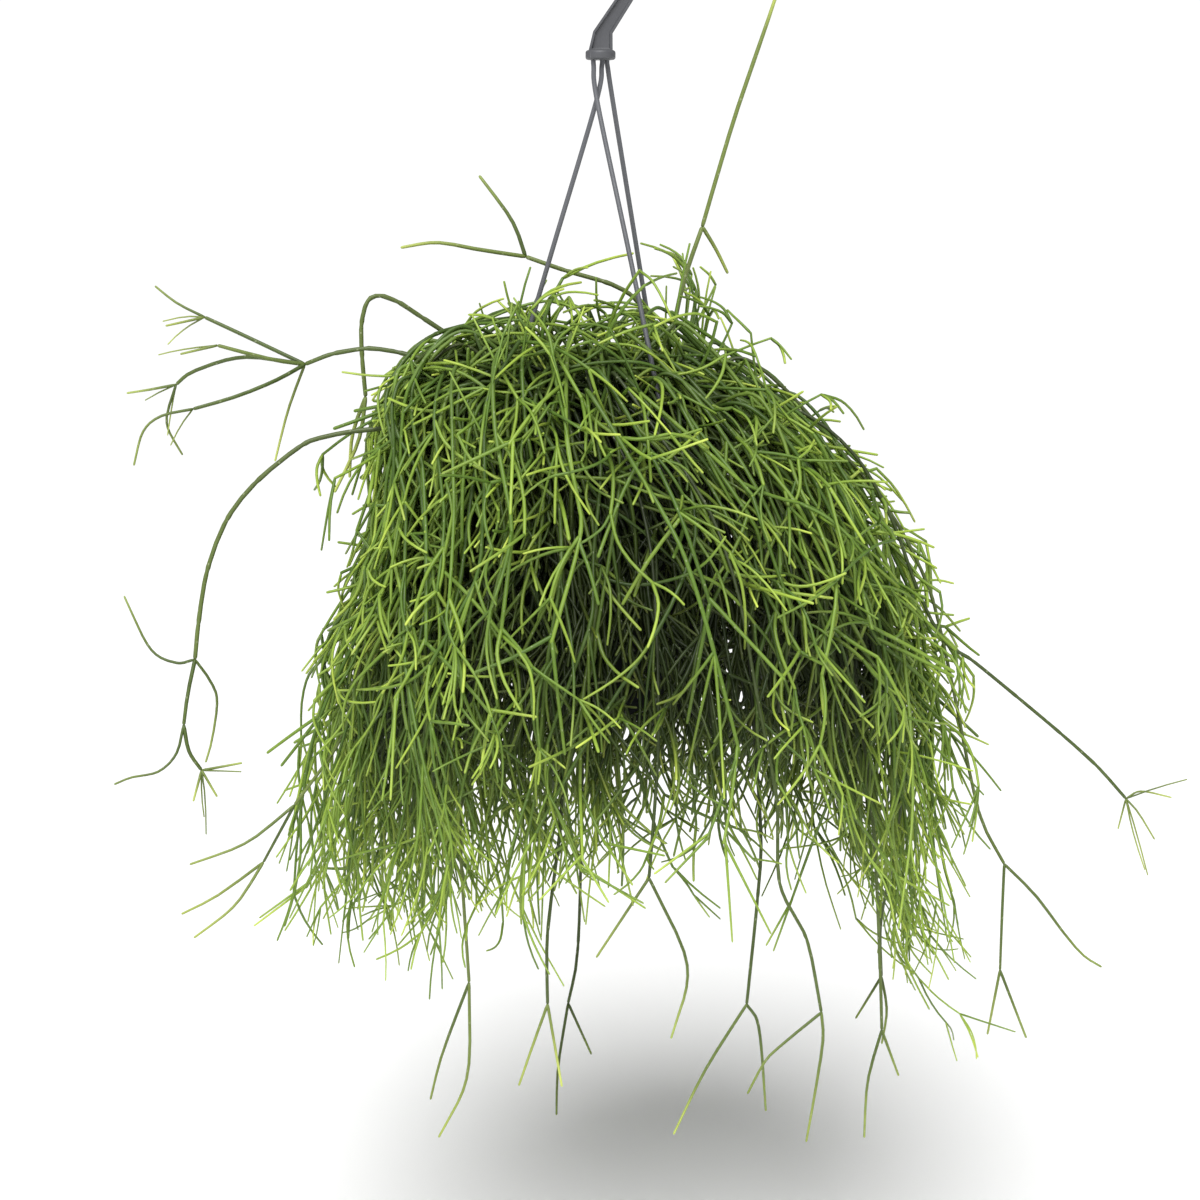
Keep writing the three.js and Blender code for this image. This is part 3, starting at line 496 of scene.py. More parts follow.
class Plant:
    """One rooted plant: its stems all grow, one from another, out of a short main stem in the soil."""

    def __init__(self, name, number, ring, azimuth, seed=0):
        self.name = name
        self.number = number
        self.azimuth = azimuth
        self.root = polar(ring["radius"], azimuth, SOIL["top"])
        self.fork = polar(ring["radius"] + ring["lean"], azimuth, SOIL["top"] + FORK_HEIGHT)
        self.draw = dice(seed)
        self.stems = []
        foot = polar(ring["radius"], azimuth, SOIL["top"] - SOIL["root_depth"] + GAP)
        self.grow([foot, self.root, self.fork], STEM["main"], "root")

    def grow(self, points, radius, part, seat=0.0, joints=()):
        """A stem's foot may be set a little way along what it grows from."""
        self.stems.append(Stem([points[0] + seat, *points[1:]], radius, part, joints))
        thicket.place(points, radius, self.number)

    def twig(self, start, direction, reach, forks, along, seat):
        """Draws a twig until one is clear of everything, and lets it fork."""
        radius = STEM["twig"] if forks > 0 else STEM["tip"]
        for _ in range(TRIES["twig"]):
            length = mix(TWIG["length"], self.draw()) * reach
            points = twig_joints(start, direction, length, forks > 0, self.draw)
            if not in_mound(points) or not thicket.is_clear(points, radius, self.number, OWN_ZONE["twig"]):
                continue
            self.grow(points, radius, "twig" if forks else "last_twig", unit(along) * seat)
            if forks > 0 and self.draw() < FORK["share"]:
                self.fork_from(points, reach * FORK["reach"], forks - 1)
            return

    def fork_from(self, points, reach, forks):
        """Twigs from the end of a stem."""
        onward = unit(points[-1] - points[-2])
        for seat in FORK["seats"]:
            self.twig(points[-1], onward, reach, forks, onward, seat)

    def twigs_along(self, points):
        """Twigs from the joints along a branch."""
        i = TWIG["first"]
        while i < len(points) - 1:
            direction = unit(points[i + 1] - points[i - 1])
            for _ in range(math.floor(TWIG["per_joint"] + self.draw())):
                self.twig(points[i], direction, 1, 1, points[i + 1] - points[i], TWIG_SEAT)
            i += BENT_STEPS if i < BENT_SPANS * BENT_STEPS else 1


def joint_places(points):
    """Which points of a branch are joints: every second one while it bends, then each one."""
    bent = BENT_SPANS * BENT_STEPS
    return [i for i in range(1, len(points) - 1) if i >= bent or i % BENT_STEPS == 0]


def grow_cutting(name, number, ring, azimuth, seed):
    plant = Plant(name, number, ring, azimuth, seed)
    for _ in range(ring["arches"]):
        for _ in range(TRIES["arch"]):
            points = smooth(arch_joints(plant.fork, ring, azimuth, plant.draw), BENT_STEPS, BENT_SPANS)
            if not in_mound(points) or not thicket.is_clear(points, STEM["arch"], number, OWN_ZONE["arch"]):
                continue
            plant.grow(points, STEM["arch"], "arch", joints=joint_places(points))
            plant.twigs_along(points)
            plant.fork_from(points, 1, 1)
            break
    return plant


def grow_shoot(name, number, root, lines, slim=False, over=None):
    """A long shoot follows its own joints."""
    plant = Plant(name, number, SHOOT_RING, root)
    ends = []
    parents = {start for start, _ in lines}
    for number_of_line, (start, joints) in enumerate(lines):
        is_main = start is None
        begun = [plant.fork if is_main else ends[start]]
        if is_main and over:
            span = over["until"] - over["entry"]
            for travel in range(over["entry"], over["until"], JOINT):
                azimuth = mix(over["azimuth"], (travel - over["entry"]) / span)
                begun.append(on_mantle(travel, over["shell"], azimuth))
        whole = [*begun, *(np.array(joint, float) for joint in joints)]
        points = smooth(whole, BENT_STEPS if is_main else 1, BENT_SPANS)
        part = "shoot" if is_main else "shoot_fork" if number_of_line in parents else "shoot_tip"
        radius = (STEM["arch"] if is_main else STEM["tip"]) * (SLIM if slim else 1)
        plant.grow(points, radius, part, joints=joint_places(points) if is_main else ())
        ends.append(points[-1])
    return plant


def strand_route(azimuth, socket, bow):
    """A strand's end in its socket, the joints that it bends at, and its end in the bead."""
    roof = COLLAR["bottom"] + COLLAR["socket"]
    top = np.array((COLLAR["x"] + socket[0], socket[1], roof - STRAND["short"] - GAP), float)
    leaving = np.array((top[0], top[1], COLLAR["bottom"] - STRAND["straight"]))
    lug = polar(LUG["reach"], azimuth, RIM_Z + STRAND["above_rim"])
    inward = polar(-bow, azimuth, 0)
    knee = leaving + (lug - leaving) * STRAND["knee"] + inward
    middle = leaving + (lug - leaving) * STRAND["middle"] + inward * STRAND["middle_bow"]
    end = polar(LUG["reach"], azimuth, RIM_Z - LUG["thickness"] - GAP - STRAND["short"])
    return top, [leaving, knee, middle, lug], end


thicket = Thicket()
for number, strand in enumerate(STRANDS.values()):
    top, bends, end = strand_route(**strand)
    thicket.place([top, *smooth(bends, 3), end], STRAND["radius"], -1 - number)

shoots = [grow_shoot(name, FIRST_SHOOT + i, **shoot) for i, (name, shoot) in enumerate(SHOOTS.items())]
cuttings = []
for ring in (INNER_RING, OUTER_RING):
    for i in range(ring["count"]):
        number = len(cuttings)
        azimuth = ring["start"] + 360 / ring["count"] * i
        cuttings.append(grow_cutting(f"cutting_{number + 1:02d}", number, ring, azimuth, FIRST_SEED + number))

# ---------------------------------------------------------------- the rest of the mound

# What the frame leaves out: finer branches from the same forks, with sprigs at their joints and ends. The
# plants at the front, where the light comes from, have more of them. The curtain hangs close round the pot,
# and the veil is of long bare tips that hang from joints and close the mound below it.
FINE = {"arch": 1.3, "sprig": (0.96, 1.08, 1.18)}
FILL = {
    "inner": {"arches": 19, "shell": (0.52, 1.0), "entry": (24, 130), "run": (30, 400), "swing": 110},
    "outer": {"arches": 14, "shell": (0.42, 0.98), "entry": (60, 120), "run": (50, 390), "swing": 84},
}
CURTAIN = {"arches": 9, "shell": (0.42, 0.86), "entry": (50, 110), "run": (120, 270), "swing": 80}
VEIL = {"per_plant": 34, "z": (-480, -370), "length": (70, 150), "stray": 0.3, "curl": 0.2, "radius": 0.95}
FRAME_SPRIGS = {"per_joint": 0.75, "roll": 150 * DEGREE}
LIT_SIDE = {"azimuth": 268, "more": 0.4}
CROWN = {"z": -250, "odds": 0.38}  # so many branches keep below this height, and leave the crown airy
# A sprig spreads wide on the crown, less on the sides, and hangs nearly straight down near the hem.
SPRIG = {
    "length": (24, 60),
    "angle": ((16, 68), (14, 68), (10, 54)),
    "sag": ((0.0, 0.0), (0.0, 0.3), (0.1, 0.7)),
    "curl": ((0.08, 0.76), (0.08, 0.76), (0.0, 0.42)),
    "droop": 0.55,
    "girth": (0.86, 1.1),
    "tries": 3,
    "next_roll": 1.9,
    "seat": 1.0,
    "onward": 0.82,
}
ARCH_GIRTH = (0.85, 1.05)
WHORL_ODDS = (0.34, 0.34, 0.80, 0.96)  # a whorl has as many sprigs as its draw exceeds
SPRIGS_PER_JOINT = 0.95
REACH = {"usual": (0, 12), "rare": (13, 44), "odds": 0.12, "rightward": 0.042}
# The hem that the finer stems keep to, by place along X, and how far above or below it one of them ends.
FINE_HEM = np.array((
    (-230, -588), (-150, -606), (-100, -612), (-62, -588), (-30, -604),
    (20, -540), (128, -550), (168, -636), (215, -646), (230, -640),
), float)
HEM_LIFT = {"usual": (0, 56), "rare": (-34, -6), "odds": 0.06}
HOLLOW = {"middle": (14, -366), "half": (86, 70), "depth": 48, "odds": 0.82, "least": 0.3}
# Thin young stems that stand up out of the crown: some all over it, a tuft just right of the strands, and
# some that lean out over its right shoulder. "reach" is how far they may stand out, a lean is the least and
# most slope to the right, and "fan" is the distance over which they lean further out.
SPIKES = (
    {"x": (-80, 110), "z": (-304, -222), "reach": 28, "per_plant": 7, "length": (0.8, 1.5),
     "lean": (-0.7, 0.9), "fan": 160},
    {"x": (4, 52), "z": (-270, -218), "reach": 52, "per_plant": 5, "length": (1.2, 2.3),
     "lean": (-0.2, 0.4), "fan": 400},
    {"x": (56, 140), "z": (-322, -240), "reach": 34, "per_plant": 4, "length": (0.9, 1.9),
     "lean": (0.8, 2.6), "fan": 400},
)
SPIKE = {"radius": 0.78, "curl": 0.14, "near": -18, "sideways": 0.7, "share": 0.6, "whorl": 0.62}
# The shoots that end in slender young tips, and the one that grows beside each short tip of the frame.
FINE_TIPS = {
    "shoots": ("shoot_left_high", "shoot_left_low", "shoot_right_long"),
    "girth": 0.7, "short": 50, "radius": 0.55, "length": (20, 44), "stray": 0.42, "curl": 0.22, "sag": 0.2,
}
BOW = (0.0, 0.36, 0.7, 1.0)  # where a short stem's points lie along it
HANGING = (-238, -300, -430, -490)  # stems stand up above the first height and hang down below the last
MARGIN = 12
FILL_SEED = 4100
TIP_SEED = 4300


def by_height(z, spans, share):
    """A value between those for the crown, the sides and the hem, at a share of each one's span."""
    crown, side, hem = (mix(span, share) for span in spans)
    return float(np.interp(-z, [-height for height in HANGING], (crown, side, side, hem)))


def drawn_from(span, draw):
    """A value from a usual span, or now and then from a rare one."""
    return mix(span["rare" if draw() < span["odds"] else "usual"], draw())


def in_hollow(point, size):
    """Whether a point lies in the sparse place in the front of the mound, where its dark inside shows."""
    x, z = ((point[axis] - HOLLOW["middle"][i]) / HOLLOW["half"][i] for i, axis in enumerate((0, 2)))
    return point[1] < 0 and math.hypot(x, z) < size and -max(from_mantle(point)) < HOLLOW["depth"]


frame_low = np.array(frame_box[0]) / MM - MARGIN
frame_high = np.array(frame_box[1]) / MM + MARGIN


class Room:
    """How far out and how low one branch and its sprigs may grow."""

    def __init__(self, draw):
        self.reach = drawn_from(REACH, draw)
        self.lift = drawn_from(HEM_LIFT, draw)
        self.hollow = (HOLLOW["least"] + draw()) * (draw() < HOLLOW["odds"])
        self.keeps_low = draw() < CROWN["odds"]

    def holds(self, points, radius):
        for point in points[1:]:
            if not (frame_low < point).all() or not (point < frame_high).all():
                return False
            reach = self.reach + REACH["rightward"] * point[0]
            if stands_out(point) > reach or point[2] > MANTLE[0][1] + self.reach:
                return False
            if point[2] < np.interp(point[0], FINE_HEM[:, 0], FINE_HEM[:, 1]) + self.lift:
                return False
            if self.hollow and in_hollow(point, self.hollow):
                return False
            if self.keeps_low and point[2] > CROWN["z"]:
                return False
        return wires.is_clear(points, radius + CLEARANCE, 0, 0)


def bowed(start, heading, length, curl):
    """Points along a short stem that bows towards its curl."""
    return [start + length * (t * heading + t * t * curl) for t in BOW]


def curl_from(draw, strength):
    return unit(strayed(np.zeros(3), draw, 1.0)) * strength


def onward_from(points):
    return unit(points[-1] - points[-2])


def add_fine(plant, points, radius, part, joints=()):
    plant.stems.append(Stem(points, radius, part, joints, fine=True))
    return plant.stems[-1]


def sprig_points(start, direction, length, roll, draw):
    """A sprig that leaves at an angle and then curls: a short arc."""
    outward = unit(np.array((start[0], start[1], 0.0)) + 1e-6)
    side = unit(cross(direction, outward) + 1e-9)
    up = unit(cross(side, direction))
    angle = by_height(start[2], SPRIG["angle"], draw()) * DEGREE
    sideways = up * math.cos(roll) + side * math.sin(roll)
    heading = direction * math.cos(angle) + sideways * math.sin(angle)
    heading = unit(heading + np.array((0, 0, -by_height(start[2], SPRIG["sag"], draw()))))
    towards = strayed(np.zeros(3), draw, 1.0) + np.array((0, 0, -SPRIG["droop"]))
    curl = unit(cross(cross(heading, towards), heading)) * by_height(start[2], SPRIG["curl"], draw())
    return bowed(start, heading, length, curl)


def add_whorl(plant, start, direction, reach, forks, room, draw):
    """Sprigs from the end of a stem, spread round it."""
    chance = draw()
    count = sum(chance > odds for odds in WHORL_ODDS)
    turn = draw() * 2 * math.pi
    for i in range(count):
        roll = turn + (i + (draw() - 0.5) * 0.5) * 2 * math.pi / count
        add_sprig(plant, start, direction, reach, forks, roll, room, draw)
    return count


def add_sprig(plant, start, direction, reach, forks, roll, room, draw):
    """A sprig that may end in a whorl of more, as often as it has forks left."""
    radius = FINE["sprig"][forks] * mix(SPRIG["girth"], draw())
    for _ in range(SPRIG["tries"]):
        length = mix(SPRIG["length"], draw()) * reach
        points = sprig_points(start, direction, length, roll, draw)
        if not room.holds(points, radius):
            roll += SPRIG["next_roll"]
            continue
        onward = onward_from(points)
        sprig = add_fine(plant, [points[0] - direction * SPRIG["seat"], *points[1:]], radius, "sprig")
        reach *= SPRIG["onward"]
        if forks == 0 or not add_whorl(plant, points[-1], onward, reach, forks - 1, room, draw):
            sprig.part = "last_sprig"
        return


def add_arch(plant, starts, ring, draw):
    """A finer branch from one of the starts, with sprigs at its joints and two at its end."""
    room = Room(draw)
    for _ in range(TRIES["twig"]):
        start = starts[int(draw() * len(starts))]
        joints = arch_joints(start, ring, plant.azimuth, draw)
        points = smooth(joints, BENT_STEPS, BENT_SPANS)
        if not room.holds(points, FINE["arch"]):
            continue
        joints = joint_places(points)
        add_fine(plant, points, FINE["arch"] * mix(ARCH_GIRTH, draw()), "fine_arch", joints)
        for i in joints:
            direction = unit(points[i] - points[i - 1])
            for _ in range(math.floor(SPRIGS_PER_JOINT + draw())):
                add_sprig(plant, points[i], direction, 1.0, 1, draw() * 2 * math.pi, room, draw)
        for _ in range(2):
            add_sprig(plant, points[-1], onward_from(points), 1.0, 2, draw() * 2 * math.pi, room, draw)
        return points
    return None


def add_spikes(plant, spikes, draw):
    """Thin stems that stand up from the outer branches of the crown, some with a whorl on top."""
    perches = []
    for stem in plant.stems:
        for point in stem.points[1:-1]:
            over = spikes["x"][0] < point[0] < spikes["x"][1] and spikes["z"][0] < point[2] < spikes["z"][1]
            if over and stem.joints and stands_out(point) > SPIKE["near"]:
                perches.append(point)
    room = Room(draw)
    room.reach = spikes["reach"]
    room.hollow = 0
    room.keeps_low = False
    for _ in range(spikes["per_plant"] if perches else 0):
        perch = perches[int(draw() * len(perches))]
        lean = mix(spikes["lean"], draw()) + perch[0] / spikes["fan"]
        upward = unit(np.array((lean, (draw() - 0.5) * SPIKE["sideways"], 1.0)))
        length = SPRIG["length"][1] * mix(spikes["length"], draw()) * SPIKE["share"]
        points = bowed(perch, upward, length, curl_from(draw, SPIKE["curl"]))
        if room.holds(points, SPIKE["radius"]):
            spike = add_fine(plant, points, SPIKE["radius"], "spike")
            if not add_whorl(plant, points[-1], onward_from(points), SPIKE["whorl"], 0, room, draw):
                spike.part = "last_spike"


def add_frame_sprigs(plant, draw):
    """Sprigs on the outer side of the thicker stems, that cross the stems beside them."""
    room = Room(draw)
    for stem in [stem for stem in plant.stems if stem.joints]:
        for i in stem.joints:
            if draw() < FRAME_SPRIGS["per_joint"] and 0 < i < len(stem.points):
                direction = unit(stem.points[i] - stem.points[i - 1])
                roll = (draw() - 0.5) * FRAME_SPRIGS["roll"]
                add_sprig(plant, stem.points[i], direction, 1.0, 1, roll, room, draw)


def add_veil(plant, draw):
    """Long tips that hang nearly straight down from the joints at the height of the pot's base."""
    low, high = VEIL["z"]
    perches = []
    for stem in plant.stems:
        joints = [stem.points[i] for i in stem.joints if i < len(stem.points)]
        perches += [point for point in joints if low < point[2] < high]
    for _ in range(VEIL["per_plant"] if perches else 0):
        perch = perches[int(draw() * len(perches))]
        heading = unit(strayed(np.array((0, 0, -1.0)), draw, VEIL["stray"]))
        curl = curl_from(draw, VEIL["curl"])
        points = bowed(perch, heading, mix(VEIL["length"], draw()), curl)
        if Room(draw).holds(points, VEIL["radius"]):
            add_fine(plant, points, VEIL["radius"], "veil")


def add_fine_tips(plant, draw):
    """Slims the tips that a shoot ends in, and adds another beside each short one."""
    for end in [stem for stem in plant.stems if stem.is_tip]:
        end.radius *= FINE_TIPS["girth"]
        foot = end.points[0]
        reach = end.points[-1] - foot
        heading = unit(strayed(unit(reach), draw, FINE_TIPS["stray"]))
        curl = curl_from(draw, FINE_TIPS["curl"]) - np.array((0, 0, FINE_TIPS["sag"]))
        points = bowed(foot, heading, mix(FINE_TIPS["length"], draw()), curl)
        inside = (frame_low < np.min(points, axis=0)).all() and (np.max(points, axis=0) < frame_high).all()
        if inside and np.linalg.norm(reach) < FINE_TIPS["short"]:
            add_fine(plant, points, FINE_TIPS["radius"], "fine_tip")


def fill_out(plant, fill, seed):
    """All the finer stems of one cutting."""
    draw = dice(seed)
    add_frame_sprigs(plant, draw)
    starts = [plant.fork, plant.fork]
    towards_light = max(math.cos((plant.azimuth - LIT_SIDE["azimuth"]) * DEGREE), 0.0)
    for _ in range(round(fill["arches"] * (1 + LIT_SIDE["more"] * towards_light))):
        grown = add_arch(plant, starts, fill, draw)
        if grown:
            starts += grown[1:3]
    for _ in range(CURTAIN["arches"]):
        add_arch(plant, [plant.fork], CURTAIN, draw)
    for spikes in SPIKES:
        add_spikes(plant, spikes, draw)
    add_veil(plant, draw)


wires = Thicket()
for strand in STRANDS.values():
    top, bends, end = strand_route(**strand)
    wires.place([top, *smooth(bends, 3), end], STRAND["radius"], -1)

for i, plant in enumerate(cuttings):
    fill_out(plant, FILL["inner" if i < INNER_RING["count"] else "outer"], FILL_SEED + i)
for i, plant in enumerate(shoots):
    if plant.name in FINE_TIPS["shoots"]:
        add_fine_tips(plant, dice(TIP_SEED + i))

# ---------------------------------------------------------------- stem skins

SIDES = {"frame": 7, "branch": 6, "sprig": 5}
FINE_STEPS = 6  # fine steps to a span
RING_SPAN = {"length": 19.0, "turn": 13 * DEGREE}  # the most that lies between two rings
# The rings at a stem's foot and round each joint, and the last two: each is a distance from the foot or the
# joint, or so many radii short of the tip, and the stem's share of thickness there.
FOOT_RINGS = ((0.0, 0.74), (2.2, 1.0))
JOINT_RINGS = ((-2.6, 1.10), (-0.5, 0.88), (2.4, 1.0))
JOINT_REACH = 4.0
TIP_RINGS = ((0.85, 0.97), (0.28, 0.66))
BARE_ENDS = 2  # other rings keep so far from the rings at the foot and the tip
# Painted shade: the deeper a stem lies inside the mound, past 4 mm and over 50 mm more, the darker its colour
# is drawn.
PAINTED_SHADE = {"from": 4, "depth": 50, "hem": (-580, -430)}  # below the hem light comes in from all sides
# The younger colour this gives the hem is lighter: partly the young growth there, partly painted light for
# the light that shines through the thin hanging stems from the white room below.
HEM_ZONE = (-590, -410)  # over these heights a cutting's stems become younger and finer towards the hem
HEM_OF = {"cuttings": {"age": 0.42, "girth": 0.60}, "shoots": {"age": 1.0, "girth": 0.96}}
TAPER = {"tip": 0.26, "branch": 0.12}
TIP_LENGTH = 50  # so much of a last stem is young and thins out
GIRTH = {"cuttings": 0.86, "shoots": 0.96, "fine": 1.0}
SKIN_SEED = 9000


def centreline(stem):
    """Evenly fine points along a stem, their distances, and the distances of its joints."""
    fine = np.array(smooth(stem.points, FINE_STEPS))
    lengths = np.concatenate(((0,), np.cumsum(np.linalg.norm(np.diff(fine, axis=0), axis=1))))
    joints = [lengths[FINE_STEPS * i] for i in stem.joints]
    return fine, lengths, joints


def evenly_bent(fine, lengths):
    """Distances along a stem that are close together where it bends and far apart where it runs straight."""
    along = np.diff(fine, axis=0)
    along /= np.linalg.norm(along, axis=1)[:, None]
    turns = np.arccos(np.clip((along[1:] * along[:-1]).sum(1), -1, 1))
    turned = np.concatenate(((0, 0), np.cumsum(turns)))
    measure = lengths / RING_SPAN["length"] + turned / RING_SPAN["turn"]
    count = max(2, math.ceil(measure[-1]))
    return np.interp(np.arange(1, count) * measure[-1] / count, measure, lengths)


def ring_plan(fine, lengths, joints, radius):
    """Distances along a stem and its share of thickness there: pinched foot, swollen joints, blunt tip."""
    tip_rings = [(lengths[-1] - radius * radii, share) for radii, share in TIP_RINGS]
    first = FOOT_RINGS[-1][0] + BARE_ENDS
    last = tip_rings[0][0] - BARE_ENDS
    plan = [*FOOT_RINGS, *((s, 1.0) for s in evenly_bent(fine, lengths) if first < s < last)]
    for place in joints:
        plan = [(s, share) for s, share in plan if abs(s - place) > JOINT_REACH]
        plan += [(place + shift, share) for shift, share in JOINT_RINGS]
    return sorted([*plan, *tip_rings])


def painted_shade_of(points):
    """How much painted shade points get: how deep they lie inside the mound, from 0 at its outside
    to 1, fading out towards the hem.
    """
    depths = -MANTLE[:, 1]
    radius = np.interp(-points[:, 2], depths, MANTLE[:, 0])
    middle = np.interp(-points[:, 2], depths, MANTLE[:, 2])
    reach = np.hypot(points[:, 0] - middle, points[:, 1])
    below = np.interp(reach, MANTLE[:, 0], MANTLE[:, 1]) - points[:, 2]
    depth = np.minimum(radius - reach, below)
    under = np.interp(points[:, 2], PAINTED_SHADE["hem"], (0, 1))
    return np.clip((depth - PAINTED_SHADE["from"]) / PAINTED_SHADE["depth"], 0, 1) * under


def rings_round(centres, girth, circle):
    """Rings of points round a centreline, each turned as little as it can be from the last."""
    tangents = np.gradient(centres, axis=0)
    tangents /= np.linalg.norm(tangents, axis=1)[:, None]
    start = np.array((0.0, 0.0, 1.0)) if abs(tangents[0][2]) < 0.8 else np.array((1.0, 0.0, 0.0))
    normal = unit(cross(tangents[0], start))
    rings = np.zeros((len(centres), len(circle), 3))
    for i, tangent in enumerate(tangents):
        normal = unit(normal - tangent * (normal @ tangent))
        rings[i] = centres[i] + girth[i] * (circle @ np.array((normal, cross(tangent, normal))))
    return rings.reshape(-1, 3)


def skin_faces(count, around):
    """The faces between rings of points, and round the foot and the tip, which are the last two points."""
    last = (count - 1) * around
    foot = count * around
    first = np.arange(count - 1)[:, None] * around
    here = np.arange(around)[None, :]
    after = (here + 1) % around
    sides = np.stack((first + here, first + after, first + around + after, first + around + here), axis=2)
    pairs = [(int(a), int(b)) for a, b in zip(here[0], after[0])]
    caps = [(foot, b, a) for a, b in pairs] + [(last + a, last + b, foot + 1) for a, b in pairs]
    return [*sides.reshape(-1, 4).tolist(), *caps]


def skin_stem(stem, group, draw):
    """The vertices, faces and surface values of one stem."""
    around = SIDES[("branch" if stem.joints else "sprig") if stem.fine else "frame"]
    fine, lengths, joints = centreline(stem)
    total = lengths[-1]
    places, shares = np.array(ring_plan(fine, lengths, joints, stem.radius)).T
    centres = np.stack([np.interp(places, lengths, fine[:, axis]) for axis in range(3)], axis=1)
    hem = HEM_OF[group]
    is_tip = stem.is_tip
    onward = np.clip(1 - (total - places) / min(total, TIP_LENGTH), 0, 1) if is_tip else places / total
    taper = 1.0 - TAPER["tip" if is_tip else "branch"] * onward
    girth = stem.radius * GIRTH["fine" if stem.fine else group] * shares * taper
    girth *= np.interp(centres[:, 2], HEM_ZONE, (hem["girth"], 1))
    turns = np.arange(around) * 2 * math.pi / around
    circle = np.stack((np.cos(turns), np.sin(turns)), axis=1)
    vertices = np.concatenate((rings_round(centres, girth, circle), (fine[0], fine[-1])))

    old, young = AGES[stem.part]
    ages = old + (young - old) * onward
    # Lighter towards the hem: partly younger growth, partly painted light.
    ages *= np.interp(centres[:, 2], HEM_ZONE, (hem["age"], 1))
    tone = draw()
    youth = draw() * is_tip
    growth = np.zeros((len(vertices), 3))
    growth[:-2, 0] = np.repeat(ages, around)
    growth[:-2, 1] = np.repeat(onward * youth, around)
    growth[:, 2] = tone
    growth[-2:, 0] = ages[[0, -1]]
    growth[-1, 1] = youth
    skin = np.zeros((len(vertices), 3))
    skin[:-2, :2] = np.tile(circle, (len(places), 1))
    skin[:-2, 2] = np.repeat(places, around)
    skin[-1, 2] = total
    return vertices * MM, skin_faces(len(places), around), growth, skin, painted_shade_of(vertices)


def linked(name, data):
    """A new object in the scene, with its mesh, curve, lamp or lens."""
    piece = bpy.data.objects.new(name, data)
    bpy.context.scene.collection.objects.link(piece)
    return piece


def make_stems(plant, group, material):
    """All the stems of one rooted plant as one finished piece."""
    draw = dice(SKIN_SEED + plant.number)
    skins = [skin_stem(stem, group, draw) for stem in plant.stems]
    faces = []
    count = 0
    for points, corners, *_ in skins:
        faces += [[corner + count for corner in face] for face in corners]
        count += len(points)
    # Each stem gives its vertices, faces, growth, skin and painted shade, which darkens its colour deep
    # inside the mound.
    vertices, _, growth, skin, painted_shade = zip(*skins)
    mesh = bpy.data.meshes.new(plant.name + "_stems")
    mesh.from_pydata(np.concatenate(vertices).tolist(), [], faces)
    for name, kind, field, values in (
        ("growth", "FLOAT_VECTOR", "vector", growth),
        ("skin", "FLOAT_VECTOR", "vector", skin),
        ("painted_shade", "FLOAT", "value", painted_shade),
    ):
        attribute = mesh.attributes.new(name, kind, "POINT")
        attribute.data.foreach_set(field, np.concatenate(values).astype(np.float32).ravel())
    mesh.polygons.foreach_set("use_smooth", [True] * len(mesh.polygons))
    mesh.materials.append(material)
    piece = linked(plant.name + "_stems", mesh)
    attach(piece, "root")
    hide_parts(plant.name)
    return piece


# ---------------------------------------------------------------- finishes


def feed(tree, made, values):
    """Fills a node's inputs, given by name or number: a socket is linked, anything else is set."""
    for key, value in values.items():
        if isinstance(value, bpy.types.NodeSocket):
            tree.links.new(value, made.inputs[key])
        else:
            made.inputs[key].default_value = value


def node(tree, kind, values=None, **settings):
    made = tree.nodes.new("ShaderNode" + kind)
    for name, value in settings.items():
        setattr(made, name, value)
    feed(tree, made, values or {})
    return made


def reckon(tree, operation, *values):
    return node(tree, "Math", dict(enumerate(values)), operation=operation).outputs[0]


def times(tree, a, b):
    return reckon(tree, "MULTIPLY", a, b)


def plus(tree, a, b):
    return reckon(tree, "ADD", a, b)


def minus(tree, a, b):
    return reckon(tree, "SUBTRACT", a, b)


def span_of(tree, value, span, out=(0.0, 1.0)):
    """Where a value lies in a span, smoothly from 0 to 1 or over another span."""
    values = {"Value": value, "From Min": span[0], "From Max": span[1], "To Min": out[0], "To Max": out[1]}
    return node(tree, "MapRange", values, interpolation_type="SMOOTHSTEP").outputs[0]


def blend_of(tree, share, a, b):
    return node(tree, "Mix", {0: share, 6: a, 7: b}, data_type="RGBA").outputs[2]


def opaque(colour):
    return (*colour, 1)


def ramp_of(tree, value, stops):
    made = node(tree, "ValToRGB", {0: value})
    ramp = made.color_ramp
    while len(ramp.elements) < len(stops):
        ramp.elements.new(0.5)
    for element, (place, colour) in zip(ramp.elements, stops):
        element.position = place
        element.color = opaque(colour)
    return made.outputs[0]


def noise_of(tree, vector, scale, detail=3.0, roughness=0.5):
    values = {"Vector": vector, "Scale": scale, "Detail": detail, "Roughness": roughness}
    return node(tree, "TexNoise", values).outputs[0]


def new_group(name, inputs, outputs):
    """An empty node group with named inputs and outputs, given as (name, kind) pairs."""
    tree = bpy.data.node_groups.new(name, "ShaderNodeTree")
    for label, kind in inputs:
        tree.interface.new_socket(label, in_out="INPUT", socket_type="NodeSocket" + kind)
    for label, kind in outputs:
        tree.interface.new_socket(label, in_out="OUTPUT", socket_type="NodeSocket" + kind)
    return tree, tree.nodes.new("NodeGroupInput").outputs, tree.nodes.new("NodeGroupOutput")


def use_group(tree, group, values):
    made = tree.nodes.new("ShaderNodeGroup")
    made.node_tree = group
    feed(tree, made, values)
    return made.outputs


def new_material(name, roughness, ior=1.45):
    material = bpy.data.materials.new(name)
    material.use_nodes = True
    tree = material.node_tree
    shader = tree.nodes.get("Principled BSDF") or node(tree, "BsdfPrincipled")
    shader.inputs["Roughness"].default_value = roughness
    shader.inputs["IOR"].default_value = ior
    return material, tree, shader


def place_of(tree):
    return node(tree, "TexCoord").outputs["Object"]


def bumped(tree, height, strength, distance):
    return node(tree, "Bump", {"Height": height, "Strength": strength, "Distance": distance}).outputs[0]


